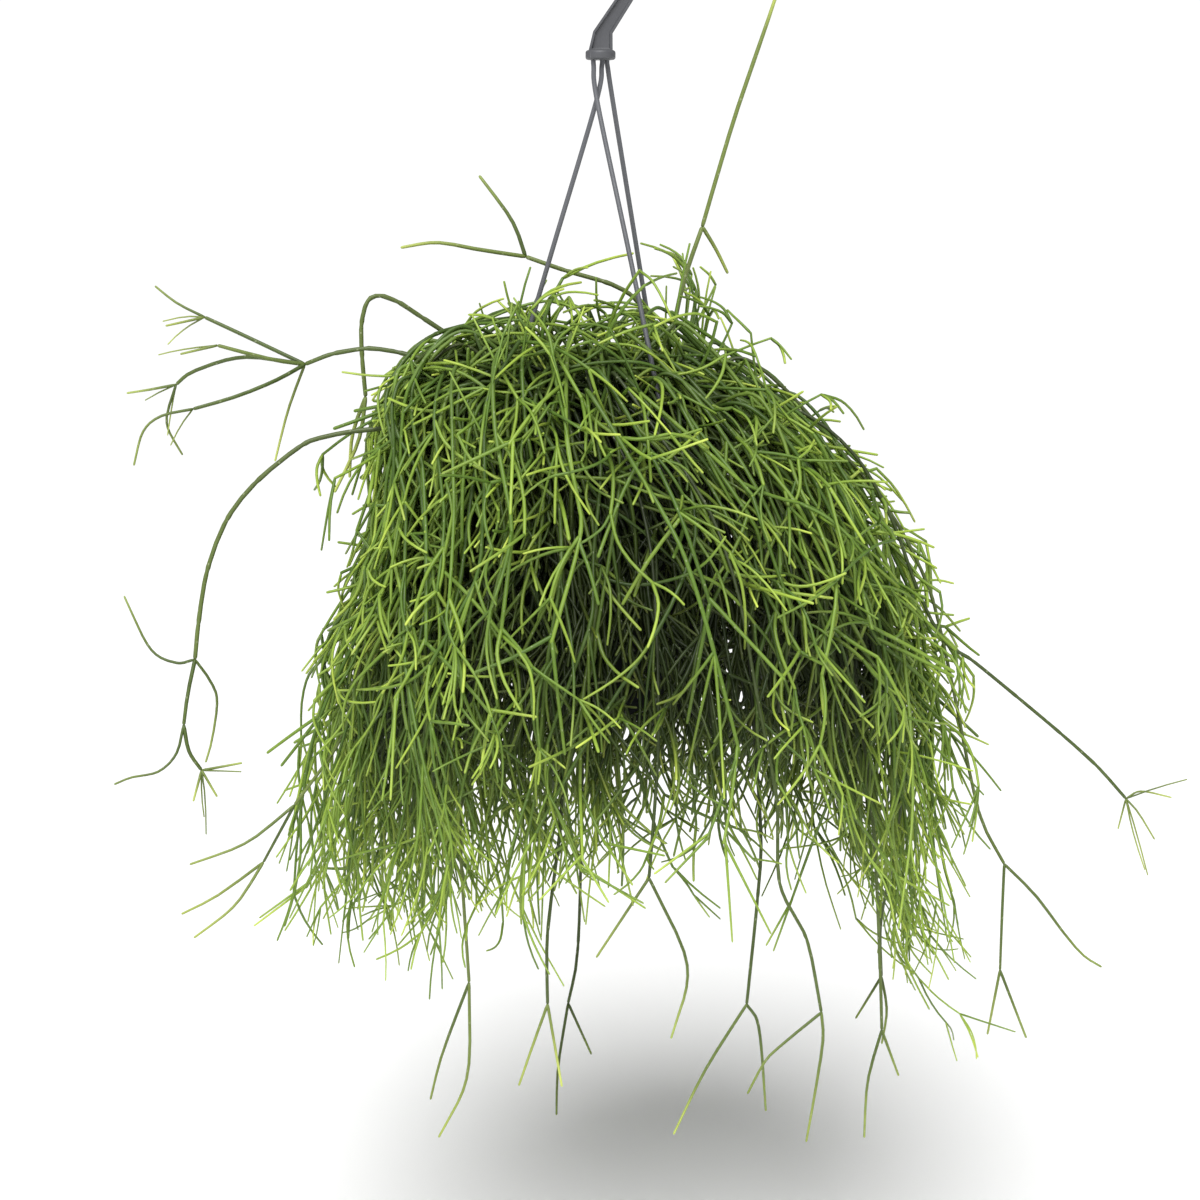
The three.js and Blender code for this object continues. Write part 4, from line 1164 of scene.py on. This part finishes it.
MOULDING = {
    "grain": 1400.0, "cloud": 38.0, "scratch": (900.0, 900.0, 70.0), "scratch_from": 0.72, "scratch_to": 0.1,
    "worn": 0.14, "scuff": (0.42, 0.42, 0.43), "grain_span": (0.2, 0.8), "duller": (-0.08, 0.1),
    "bump": (0.25, 0.0003),
}


def make_moulded_group():
    """Moulded plastic: a fine grain, faint clouding, and scuffs in fine streaks, more of them the more worn
    it is.
    """
    group, given, result = new_group(
        "moulded_surface",
        (("Place", "Vector"), ("Grain Scale", "Float"), ("Wear", "Float")),
        (("Clouding", "Float"), ("Scuffs", "Float"), ("Grain", "Float")),
    )
    grain = noise_of(group, given["Place"], given["Grain Scale"], 4.0, 0.6)
    clouding = noise_of(group, given["Place"], MOULDING["cloud"])
    stretched = node(group, "Mapping", {"Vector": given["Place"], "Scale": MOULDING["scratch"]}).outputs[0]
    scratches = noise_of(group, stretched, 1.0, 2.0, 0.7)
    low = minus(group, MOULDING["scratch_from"], times(group, given["Wear"], MOULDING["worn"]))
    scuffs = span_of(group, scratches, (low, plus(group, low, MOULDING["scratch_to"])))
    feed(group, result, {"Clouding": clouding, "Scuffs": scuffs, "Grain": grain})
    return group


def make_plastic(name, dark, light, wear, roughness, gloss=0.5):
    material, tree, shader = new_material(name, roughness)
    values = {"Place": place_of(tree), "Grain Scale": MOULDING["grain"], "Wear": wear}
    surface = use_group(tree, moulded, values)
    base = blend_of(tree, surface["Clouding"], opaque(dark), opaque(light))
    scuffed = blend_of(tree, times(tree, surface["Scuffs"], wear), base, opaque(MOULDING["scuff"]))
    dull = [roughness + change for change in MOULDING["duller"]]
    feed(tree, shader, {
        "Specular IOR Level": gloss,
        "Base Color": scuffed,
        "Roughness": span_of(tree, surface["Grain"], MOULDING["grain_span"], dull),
        "Normal": bumped(tree, surface["Grain"], *MOULDING["bump"]),
    })
    return material


# How the colour of a stem changes with its age, tip and tone, and how painted shade darkens it deep
# inside the mound. Areoles sit in a spiral along it, one to a spacing in millimetres, each turned on
# from the last by the golden angle.
EPIDERMIS = {"fresh": (0.0, 0.55), "old": (0.5, 1.0), "tip": (0.25, 1.0)}
# A stem's tone: a random brightness and hue, mottling, and the painted shade that darkens it deep inside the
# mound.
TONE = {"bright": (0.60, 1.28), "hue": (0.512, 0.49), "shade": (1.0, 0.14), "mottle": 0.5}
AREOLE = {
    "spacing": 9.0, "turn": 2.39996, "shuffle": 7.0, "around": (0.80, 0.95), "along": (0.75, 0.35),
    "share": 0.4, "colour": (0.50, 0.54, 0.34),
}
STREAKS = {
    "stretch": (2.6, 2.6, 0.05), "scale": 1.6, "span": (0.52, 0.75), "share": (0.0, 0.22), "height": 0.5,
}
BLOOM = {"scale": 75.0, "span": (0.5, 0.8), "share": (0.0, 0.07), "colour": (0.40, 0.50, 0.24)}
STEM_GLOSS = {
    "roughness": 0.42, "ior": 1.42, "span": (0.2, 0.8), "duller": (0.36, 0.52), "bump": (0.5, 0.0002),
}


def areole_mask(group, skin, tone):
    """One small spot to a cell along the stem, each on its own side of it."""
    cell = reckon(group, "FLOOR", reckon(group, "DIVIDE", skin[2], AREOLE["spacing"]))
    middle = times(group, plus(group, cell, 0.5), AREOLE["spacing"])
    inside = minus(group, skin[2], middle)
    cell_number = plus(group, cell, times(group, tone, AREOLE["shuffle"]))
    turn = times(group, cell_number, AREOLE["turn"])
    facing_x = times(group, skin[0], reckon(group, "COSINE", turn))
    facing_y = times(group, skin[1], reckon(group, "SINE", turn))
    near_round = span_of(group, plus(group, facing_x, facing_y), AREOLE["around"])
    near_along = span_of(group, reckon(group, "ABSOLUTE", inside), AREOLE["along"])
    return times(group, near_round, near_along)


def make_epidermis_group():
    """The skin of a stem from its own values: colour by age, painted shade deep inside the mound,
    areoles in a spiral, fine streaks and bloom.
    """
    colours = [(label, "Color") for label in ("Fresh", "Grown", "Old", "Tip")]
    group, given, result = new_group(
        "epidermis",
        (("Growth", "Vector"), ("Skin", "Vector"), ("Painted Shade", "Float"), ("Place", "Vector"), *colours),
        (("Color", "Color"), ("Roughness", "Float"), ("Height", "Float")),
    )
    age, tipward, tone = node(group, "SeparateXYZ", {0: given["Growth"]}).outputs
    skin = node(group, "SeparateXYZ", {0: given["Skin"]}).outputs

    colour = blend_of(group, span_of(group, age, EPIDERMIS["fresh"]), given["Fresh"], given["Grown"])
    colour = blend_of(group, span_of(group, age, EPIDERMIS["old"]), colour, given["Old"])
    colour = blend_of(group, span_of(group, tipward, EPIDERMIS["tip"]), colour, given["Tip"])

    mottle = noise_of(group, given["Place"], 160.0, 3.0, 0.6)
    mottling = times(group, minus(group, mottle, 0.5), TONE["mottle"])
    brightness = plus(group, span_of(group, tone, (0.0, 1.0), TONE["bright"]), mottling)
    # Painted shade: the deeper inside the mound, the darker the colour.
    brightness = times(group, brightness, span_of(group, given["Painted Shade"], (0.0, 1.0), TONE["shade"]))
    hue = span_of(group, tone, (0.0, 1.0), TONE["hue"])
    colour = node(group, "HueSaturation", {"Hue": hue, "Value": brightness, "Color": colour}).outputs[0]

    areole = areole_mask(group, skin, tone)
    colour = blend_of(group, times(group, areole, AREOLE["share"]), colour, opaque(AREOLE["colour"]))
    wrapped = node(group, "Mapping", {"Vector": given["Skin"], "Scale": STREAKS["stretch"]}).outputs[0]
    streaks = noise_of(group, wrapped, STREAKS["scale"], 3.0, 0.6)
    streaked = span_of(group, streaks, STREAKS["span"], STREAKS["share"])
    colour = blend_of(group, streaked, colour, given["Old"])
    cloud = noise_of(group, given["Place"], BLOOM["scale"], 2.0)
    bloom = span_of(group, cloud, BLOOM["span"], BLOOM["share"])
    feed(group, result, {
        "Color": blend_of(group, bloom, colour, opaque(BLOOM["colour"])),
        "Roughness": span_of(group, mottle, STEM_GLOSS["span"], STEM_GLOSS["duller"]),
        "Height": plus(group, areole, times(group, streaks, STREAKS["height"])),
    })
    return group


def make_stem_material(name, **colours):
    """A stem's finish from its own values and its colours when fresh, grown and old, and at its tip."""
    material, tree, shader = new_material(name, STEM_GLOSS["roughness"], STEM_GLOSS["ior"])
    # The stem's painted shade, darker deep inside the mound, comes in beside its growth and skin.
    values = {
        "Growth": node(tree, "Attribute", attribute_name="growth").outputs["Vector"],
        "Skin": node(tree, "Attribute", attribute_name="skin").outputs["Vector"],
        "Painted Shade": node(tree, "Attribute", attribute_name="painted_shade").outputs["Fac"],
        "Place": place_of(tree),
    }
    values.update({label.capitalize(): opaque(colour) for label, colour in colours.items()})
    surface = use_group(tree, epidermis, values)
    feed(tree, shader, {
        "Base Color": surface["Color"],
        "Roughness": surface["Roughness"],
        "Normal": bumped(tree, surface["Height"], *STEM_GLOSS["bump"]),
    })
    return material


PEAT = {
    "stops": ((0.25, (0.012, 0.008, 0.005)), (0.5, (0.035, 0.022, 0.013)), (0.75, (0.085, 0.055, 0.034))),
    "coarse": 120.0, "fine": 700.0, "fibres": (0.62, 0.72), "fibre_share": (0.0, 0.5),
    "fibre": (0.16, 0.11, 0.07), "bump": (0.8, 0.001),
}


def make_soil_material():
    material, tree, shader = new_material("potting_soil", 0.95)
    place = place_of(tree)
    coarse = noise_of(tree, place, PEAT["coarse"], 5.0, 0.7)
    fine = noise_of(tree, place, PEAT["fine"], 3.0, 0.6)
    colour = ramp_of(tree, coarse, PEAT["stops"])
    fibres = span_of(tree, fine, PEAT["fibres"], PEAT["fibre_share"])
    feed(tree, shader, {
        "Base Color": blend_of(tree, fibres, colour, opaque(PEAT["fibre"])),
        "Normal": bumped(tree, fine, *PEAT["bump"]),
    })
    return material


moulded = make_moulded_group()
epidermis = make_epidermis_group()
hook_plastic = make_plastic("hook_plastic", (0.070, 0.072, 0.079), (0.102, 0.104, 0.112), 0.30, 0.42)
strand_plastic = make_plastic("strand_plastic", (0.095, 0.099, 0.110), (0.140, 0.144, 0.156), 0.25, 0.38)
pot_plastic = make_plastic("pot_plastic", (0.003, 0.004, 0.004), (0.008, 0.009, 0.009), 0.04, 0.60, 0.16)
potting_soil = make_soil_material()
stem_skin = make_stem_material(
    "stem_skin",
    fresh=(0.27, 0.40, 0.050), grown=(0.135, 0.235, 0.028), old=(0.058, 0.096, 0.018), tip=(0.44, 0.56, 0.09),
)
# The shoots are darker and greyer than the other stems: partly their own older colour, partly painted shade
# from the mound above them.
shoot_skin = make_stem_material(
    "shoot_skin",
    fresh=(0.27, 0.34, 0.07), grown=(0.125, 0.175, 0.040), old=(0.052, 0.070, 0.026), tip=(0.46, 0.55, 0.13),
)

# ---------------------------------------------------------------- modelling by hand


def deselect():
    for item in list(bpy.context.selected_objects):
        item.select_set(False)


def take(piece):
    """Makes a piece the only one selected, and the active one."""
    deselect()
    piece.select_set(True)
    bpy.context.view_layer.objects.active = piece


def edit(piece):
    take(piece)
    bpy.ops.object.mode_set(mode="EDIT")
    bpy.ops.mesh.select_mode(type="FACE")
    bpy.ops.mesh.select_all(action="SELECT")


def done():
    bpy.ops.object.mode_set(mode="OBJECT")


def pick_faces(piece, test):
    """In edit mode, selects the faces that pass a test."""
    mesh = bmesh.from_edit_mesh(piece.data)
    for face in mesh.faces:
        face.select_set(bool(test(face)))
    bmesh.update_edit_mesh(piece.data)


def drawn(name, points, faces=True):
    """A piece that starts as one drawn outline, given in millimetres."""
    mesh = bpy.data.meshes.new(name)
    corners = [(x * MM, y * MM, z * MM) for x, y, z in points]
    count = len(corners)
    edges = [] if faces else [(i, i + 1) for i in range(count - 1)]
    mesh.from_pydata(corners, edges, [list(range(count))] if faces else [])
    return linked(name, mesh)


def turned(name, profile, steps):
    """A piece turned about the upright axis from a profile of radii and heights, in millimetres."""
    piece = drawn(name, [(radius, 0, z) for radius, z in profile], faces=False)
    edit(piece)
    bpy.ops.mesh.select_mode(type="VERT")
    bpy.ops.mesh.select_all(action="SELECT")
    bpy.ops.mesh.spin(steps=steps, angle=2 * math.pi, center=(0, 0, 0), axis=(0, 0, 1))
    bpy.ops.mesh.select_all(action="SELECT")
    bpy.ops.mesh.remove_doubles(threshold=0.00002)
    bpy.ops.mesh.normals_make_consistent(inside=False)
    done()
    return piece


def finish_modifier(piece, kind, **settings):
    take(piece)
    modifier = piece.modifiers.new(kind.lower(), kind)
    for name, value in settings.items():
        setattr(modifier, name, value)
    bpy.ops.object.modifier_apply(modifier=modifier.name)


def combined(piece, other, operation):
    finish_modifier(piece, "BOOLEAN", operation=operation, object=other, solver="EXACT")
    bpy.data.objects.remove(other)


def cut(piece, tool):
    combined(piece, tool, "DIFFERENCE")


def joined(piece, other):
    combined(piece, other, "UNION")


def eased(piece, width, segments, angle):
    """Rounds the edges sharper than an angle and shades the rest smooth."""
    limit = {"limit_method": "ANGLE", "angle_limit": angle * DEGREE}
    finish_modifier(piece, "BEVEL", width=width * MM, segments=segments, **limit)
    shade(piece, angle + 6)


def shade(piece, angle=38):
    take(piece)
    bpy.ops.object.shade_smooth_by_angle(angle=angle * DEGREE)


def peg(radius, depth, at, sides, top_radius=None):
    """A plain round tool or blank, upright, centred at a point given in millimetres."""
    deselect()
    bpy.ops.mesh.primitive_cone_add(
        vertices=sides,
        radius1=radius * MM,
        radius2=(radius if top_radius is None else top_radius) * MM,
        depth=depth * MM,
        location=[value * MM for value in at],
    )
    piece = bpy.context.object
    settle(piece)
    return piece


def settle(piece):
    """Puts a piece's place, turn and size into its mesh."""
    take(piece)
    bpy.ops.object.transform_apply(location=True, rotation=True, scale=True)


def dressed(piece, name, material, slot, *replaced):
    piece.name = name
    piece.data.name = name
    piece.data.materials.clear()
    piece.data.materials.append(material)
    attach(piece, "root")
    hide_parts(*replaced)
    return piece


# ---------------------------------------------------------------- hook and collar


def arc(centre, radius, start, end, steps):
    """Points on an arc in the hook's flat, in degrees."""
    turns = [start + (end - start) * i / steps for i in range(steps + 1)]
    return [
        (centre[0] + radius * math.cos(turn * DEGREE), 0, centre[1] + radius * math.sin(turn * DEGREE))
        for turn in turns
    ]


def hook_outline():
    inner = HOOK["bore"]
    outer = inner + HOOK["width"]
    middle = (inner + outer) / 2
    centre = (0, -HOOK["bore"])
    lean = -HOOK["lean"]
    down = (math.sin(lean * DEGREE), -math.cos(lean * DEGREE))

    def along_arm(radius, length):
        x, _, z = arc(centre, radius, lean, lean, 1)[0]
        return (x + down[0] * length, 0, z + down[1] * length)

    foot_z = COLLAR["top"] - HOOK["foot_depth"]
    tip = arc(centre, middle, HOOK["tip"], HOOK["tip"], 1)[0]
    outline = [(COLLAR["x"] + HOOK["foot_half"], 0, foot_z), along_arm(outer, HOOK["arm"])]
    outline += arc(centre, outer, lean, HOOK["tip"], 40)
    outline += arc((tip[0], tip[2]), HOOK["width"] / 2, HOOK["tip"], HOOK["tip"] + 180, 12)[1:-1]
    outline += arc(centre, inner, HOOK["tip"], lean, 34)
    outline.append(along_arm(inner - HOOK["flare"], HOOK["inner_arm"]))
    outline.append((COLLAR["x"] - HOOK["foot_half"], 0, foot_z))
    return outline


def make_hook():
    """The arm and bend are a flat bar with a raised rim on both faces; the collar grips the three strands."""
    hook = drawn("hook_bar", hook_outline())
    edit(hook)
    half = HOOK["thickness"] / 2 * MM
    bpy.ops.transform.translate(value=(0, -half, 0))
    bpy.ops.mesh.extrude_region_move(TRANSFORM_OT_translate={"value": (0, 2 * half, 0)})
    bpy.ops.mesh.select_all(action="SELECT")
    bpy.ops.mesh.normals_make_consistent(inside=False)
    pick_faces(hook, lambda face: abs(face.normal.y) > 0.9)
    bpy.ops.mesh.inset(thickness=HOOK_RIM["width"] * MM, depth=0, use_boundary=True)
    bpy.ops.mesh.inset(thickness=HOOK_RIM["slope"] * MM, depth=-HOOK_RIM["depth"] * MM, use_boundary=True)
    done()
    eased(hook, HOOK["ease"], 3, 40)

    radius, top, bottom = COLLAR["radius"], COLLAR["top"], COLLAR["bottom"]
    collar = turned("hook_collar", [(0, bottom), (radius, bottom), (radius, top), (0, top)], 48)
    edit(collar)
    bpy.ops.transform.translate(value=(COLLAR["x"] * MM, 0, 0))
    done()
    eased(collar, COLLAR["ease"], 4, 20)
    for strand in STRANDS.values():
        x, y = strand["socket"]
        at = (COLLAR["x"] + x, y, bottom + COLLAR["socket"] / 2 - COLLAR["below"] / 2)
        cut(collar, peg(STRAND["radius"] + STRAND["play"], COLLAR["socket"] + COLLAR["below"], at, 24))
    joined(hook, collar)
    shade(hook)
    return dressed(hook, "hook_moulding", hook_plastic, "hook_plastic", "hook")


# ---------------------------------------------------------------- strands


def make_strand(name, azimuth, socket, bow):
    """A plain rod, run smoothly from its socket to its lug, with a tapered bead below the lug."""
    top, bends, end = strand_route(azimuth, socket, bow)
    route = [top, *smooth(bends, 10), end]
    curve = bpy.data.curves.new(name, "CURVE")
    curve.dimensions = "3D"
    curve.bevel_depth = STRAND["radius"] * MM
    curve.bevel_resolution = 6
    curve.use_fill_caps = True
    spline = curve.splines.new("POLY")
    spline.points.add(len(route) - 1)
    for point, place in zip(spline.points, route):
        point.co = (*(place * MM), 1)
    take(linked(name + "_rod", curve))
    bpy.ops.object.convert(target="MESH")
    rod = bpy.context.object

    height = STRAND["bead_height"]
    bead_z = RIM_Z - LUG["thickness"] - GAP - height / 2
    at = polar(LUG["reach"], azimuth, bead_z)
    bead_radius = STRAND["bead_radius"]
    bead = peg(bead_radius * STRAND["bead_foot"], height, at, 28, bead_radius)
    eased(bead, STRAND["bead_ease"], 4, 40)
    joined(rod, bead)
    shade(rod, 45)
    return dressed(rod, name + "_rod", strand_plastic, "strand_plastic", name)


# ---------------------------------------------------------------- pot and soil


FOOT_RING = {"top": 6, "width": 7.5}
LIP = {"neck": 3, "draft": 0.6, "round": 0.8}
# The soil's broken top: how wide and high its relief is, and the crumbs pressed into it, by size and shape.
RELIEF = {"width": 9, "seed": 3.1, "height": 1.6, "from": 0.05, "gain": 0.8, "scale": 2.1, "octaves": 5}
CRUMBS = {
    "count": 170, "seed": 61, "within": 0.95, "size": (0.9, 2.6), "sunk": 0.3, "turn": 6,
    "breadth": (0.6, 1), "height": (0.5, 0.9),
}
SOIL_FIT = {"top": 0.35, "bottom": 0.75, "rings": 26}


def make_pot():
    """A thin-walled pot with a rolled lip, a foot ring, drain holes, and a lug for each strand."""
    base, mouth, wall = POT["base"], POT["mouth"], POT["wall"]
    lip = mouth + POT["lip"]
    lip_bottom = RIM_Z - POT["lip_drop"]
    floor = POT_BASE_Z + DRAIN["rise"]
    profile = [
        (0, floor),
        (base - FOOT_RING["top"], floor),
        (base - FOOT_RING["width"], POT_BASE_Z),
        (base, POT_BASE_Z),
        (pot_radius(lip_bottom - LIP["neck"]), lip_bottom - LIP["neck"]),
        (lip - LIP["draft"], lip_bottom),
        (lip, RIM_Z - LIP["round"]),
        (lip - LIP["round"], RIM_Z),
        (mouth - wall, RIM_Z),
        (base - wall, floor + wall),
        (0, floor + wall),
    ]
    pot = turned("pot_body", profile, 96)
    for strand in STRANDS.values():
        middle = RIM_Z - LUG["thickness"] / 2
        ear = peg(LUG["radius"], LUG["thickness"], polar(LUG["reach"], strand["azimuth"], middle), 40)
        cut(ear, peg(mouth - 1, 40, (0, 0, RIM_Z), 96))
        joined(pot, ear)
    for strand in STRANDS.values():
        at = polar(LUG["reach"], strand["azimuth"], RIM_Z)
        cut(pot, peg(STRAND["radius"] + STRAND["play"], LUG["thickness"] * 4, at, 24))
    for i in range(DRAIN["count"]):
        at = polar(DRAIN["circle"], 360 / DRAIN["count"] * i, floor)
        cut(pot, peg(DRAIN["radius"], 12, at, 32))
    eased(pot, POT["ease"], 2, 35)
    return dressed(pot, "hanging_pot", pot_plastic, "pot_plastic", "pot")


def make_soil():
    """Crumbly soil: a mounded plug whose top is broken up, with loose crumbs pressed into it."""
    inside = pot_radius(SOIL["top"]) - POT["wall"] - GAP - SOIL_FIT["top"]
    bottom = POT_BASE_Z + DRAIN["rise"] + POT["wall"] + GAP
    lower = pot_radius(bottom) - POT["wall"] - GAP - SOIL_FIT["bottom"]
    profile = [(0, bottom), (lower, bottom), (inside, SOIL["top"])]
    for i in range(1, SOIL_FIT["rings"]):
        share = i / SOIL_FIT["rings"]
        profile.append((inside * (1 - share), SOIL["top"] + SOIL["rise"] * share))
    profile.append((0, SOIL["top"] + SOIL["rise"]))
    soil = turned("soil_plug", profile, 90)
    for vertex in soil.data.vertices:
        x, y, z = vertex.co / MM
        if z > SOIL["top"] + RELIEF["from"]:
            place = (x / RELIEF["width"], y / RELIEF["width"], RELIEF["seed"])
            rise = noise.fractal(place, RELIEF["gain"], RELIEF["scale"], RELIEF["octaves"]) * RELIEF["height"]
            vertex.co.z += rise * MM
    draw = dice(CRUMBS["seed"])
    for _ in range(CRUMBS["count"]):
        reach = inside * math.sqrt(draw()) * CRUMBS["within"]
        x, y, _ = polar(reach, draw() * 360, 0)
        size = mix(CRUMBS["size"], draw() ** 2)
        z = SOIL["top"] + SOIL["rise"] * (1 - reach / inside) + size * CRUMBS["sunk"]
        deselect()
        bpy.ops.mesh.primitive_ico_sphere_add(
            subdivisions=2,
            radius=size * MM,
            location=(x * MM, y * MM, z * MM),
            rotation=[draw() * CRUMBS["turn"] for _ in range(3)],
            scale=(1, mix(CRUMBS["breadth"], draw()), mix(CRUMBS["height"], draw())),
        )
        settle(bpy.context.object)
        soil.select_set(True)
        bpy.context.view_layer.objects.active = soil
        bpy.ops.object.join()
    shade(soil, 60)
    return dressed(soil, "soil_fill", potting_soil, "soil", "soil")


# ---------------------------------------------------------------- putting it together

make_hook()
for name, strand in STRANDS.items():
    make_strand(name, **strand)
make_pot()
make_soil()
for plant in cuttings:
    make_stems(plant, "cuttings", stem_skin)
for plant in shoots:
    make_stems(plant, "shoots", shoot_skin)

# ---------------------------------------------------------------- floor, light and camera

IMAGE_SIDE = 1200
PIXEL = 0.576 * MM
VIEW_CENTRE = Vector((-6.9, 0, -391.7)) * MM
VIEW_DISTANCE = 3.2
VIEW_ELEVATION = 3
SENSOR_WIDTH = 36
FLOOR = {"z": -777, "reach": 7000, "rise": 142, "from": 40, "to": 560, "steps": 24}
FLOOR_PAINT = {"roughness": 0.7, "gloss": 0.1, "shades": ((0.3, (0.955,) * 3), (0.7, (0.975,) * 3))}
WHITE = (1, 1, 1, 1)
ROOM = {"seen": 1.05, "fill": 0.34}  # how bright the room is to the eye, and as a light
KEY_LIGHT = {"azimuth": -11, "elevation": 50, "strength": 3.7, "angle": 50}


def make_floor():
    """A pale floor that rises a little behind the piece, so that its soft shadow is seen from the front."""
    reach, low, rise = FLOOR["reach"], FLOOR["z"], FLOOR["rise"]
    profile = [(-reach, low)]
    for i in range(FLOOR["steps"] + 1):
        share = i / FLOOR["steps"]
        risen = share * share * (3 - 2 * share)
        profile.append((mix((FLOOR["from"], FLOOR["to"]), share), low + rise * risen))
    profile.append((reach, low + rise))
    floor = drawn("studio_floor", [(-reach, y, z) for y, z in profile], faces=False)
    edit(floor)
    bpy.ops.mesh.select_mode(type="EDGE")
    bpy.ops.mesh.select_all(action="SELECT")
    bpy.ops.mesh.extrude_region_move(TRANSFORM_OT_translate={"value": (2 * reach * MM, 0, 0)})
    bpy.ops.mesh.select_all(action="SELECT")
    bpy.ops.mesh.normals_make_consistent(inside=False)
    done()
    shade(floor)
    material, tree, shader = new_material("studio_floor", FLOOR_PAINT["roughness"])
    grain = noise_of(tree, place_of(tree), 3.0, 2.0)
    colour = ramp_of(tree, grain, FLOOR_PAINT["shades"])
    feed(tree, shader, {"Base Color": colour, "Specular IOR Level": FLOOR_PAINT["gloss"]})
    floor.data.materials.append(material)


def make_world():
    """A bright room: plain white behind the piece, and a softer white as its fill light."""
    world = bpy.data.worlds.new("studio")
    bpy.context.scene.world = world
    world.use_nodes = True
    tree = world.node_tree
    tree.nodes.clear()
    seen = node(tree, "Background", {"Color": WHITE, "Strength": ROOM["seen"]}).outputs[0]
    fill = node(tree, "Background", {"Color": WHITE, "Strength": ROOM["fill"]}).outputs[0]
    to_eye = node(tree, "LightPath").outputs["Is Camera Ray"]
    choice = node(tree, "MixShader", {0: to_eye, 1: fill, 2: seen}).outputs[0]
    node(tree, "OutputWorld", {0: choice})


def towards(azimuth, elevation):
    """A direction. Azimuth 0 is the front, and a positive one is to the right."""
    flat = math.cos(elevation)
    return Vector((math.sin(azimuth) * flat, -math.cos(azimuth) * flat, math.sin(elevation)))


def make_key_light():
    light = bpy.data.lights.new("key_light", "SUN")
    light.energy = KEY_LIGHT["strength"]
    light.angle = KEY_LIGHT["angle"] * DEGREE
    source = towards(KEY_LIGHT["azimuth"] * DEGREE, KEY_LIGHT["elevation"] * DEGREE)
    linked("key_light", light).rotation_euler = source.to_track_quat("Z", "Y").to_euler()


def make_camera():
    lens = bpy.data.cameras.new("camera")
    lens.sensor_width = SENSOR_WIDTH
    lens.lens = SENSOR_WIDTH * VIEW_DISTANCE / (IMAGE_SIDE * PIXEL)
    lens.clip_end = 100
    camera = linked("camera", lens)
    back = towards(0, VIEW_ELEVATION * DEGREE)
    camera.location = VIEW_CENTRE + back * VIEW_DISTANCE
    camera.rotation_euler = back.to_track_quat("Z", "Y").to_euler()
    bpy.context.scene.camera = camera


make_floor()
make_world()
make_key_light()
make_camera()
bpy.context.scene.view_settings.view_transform = "Standard"
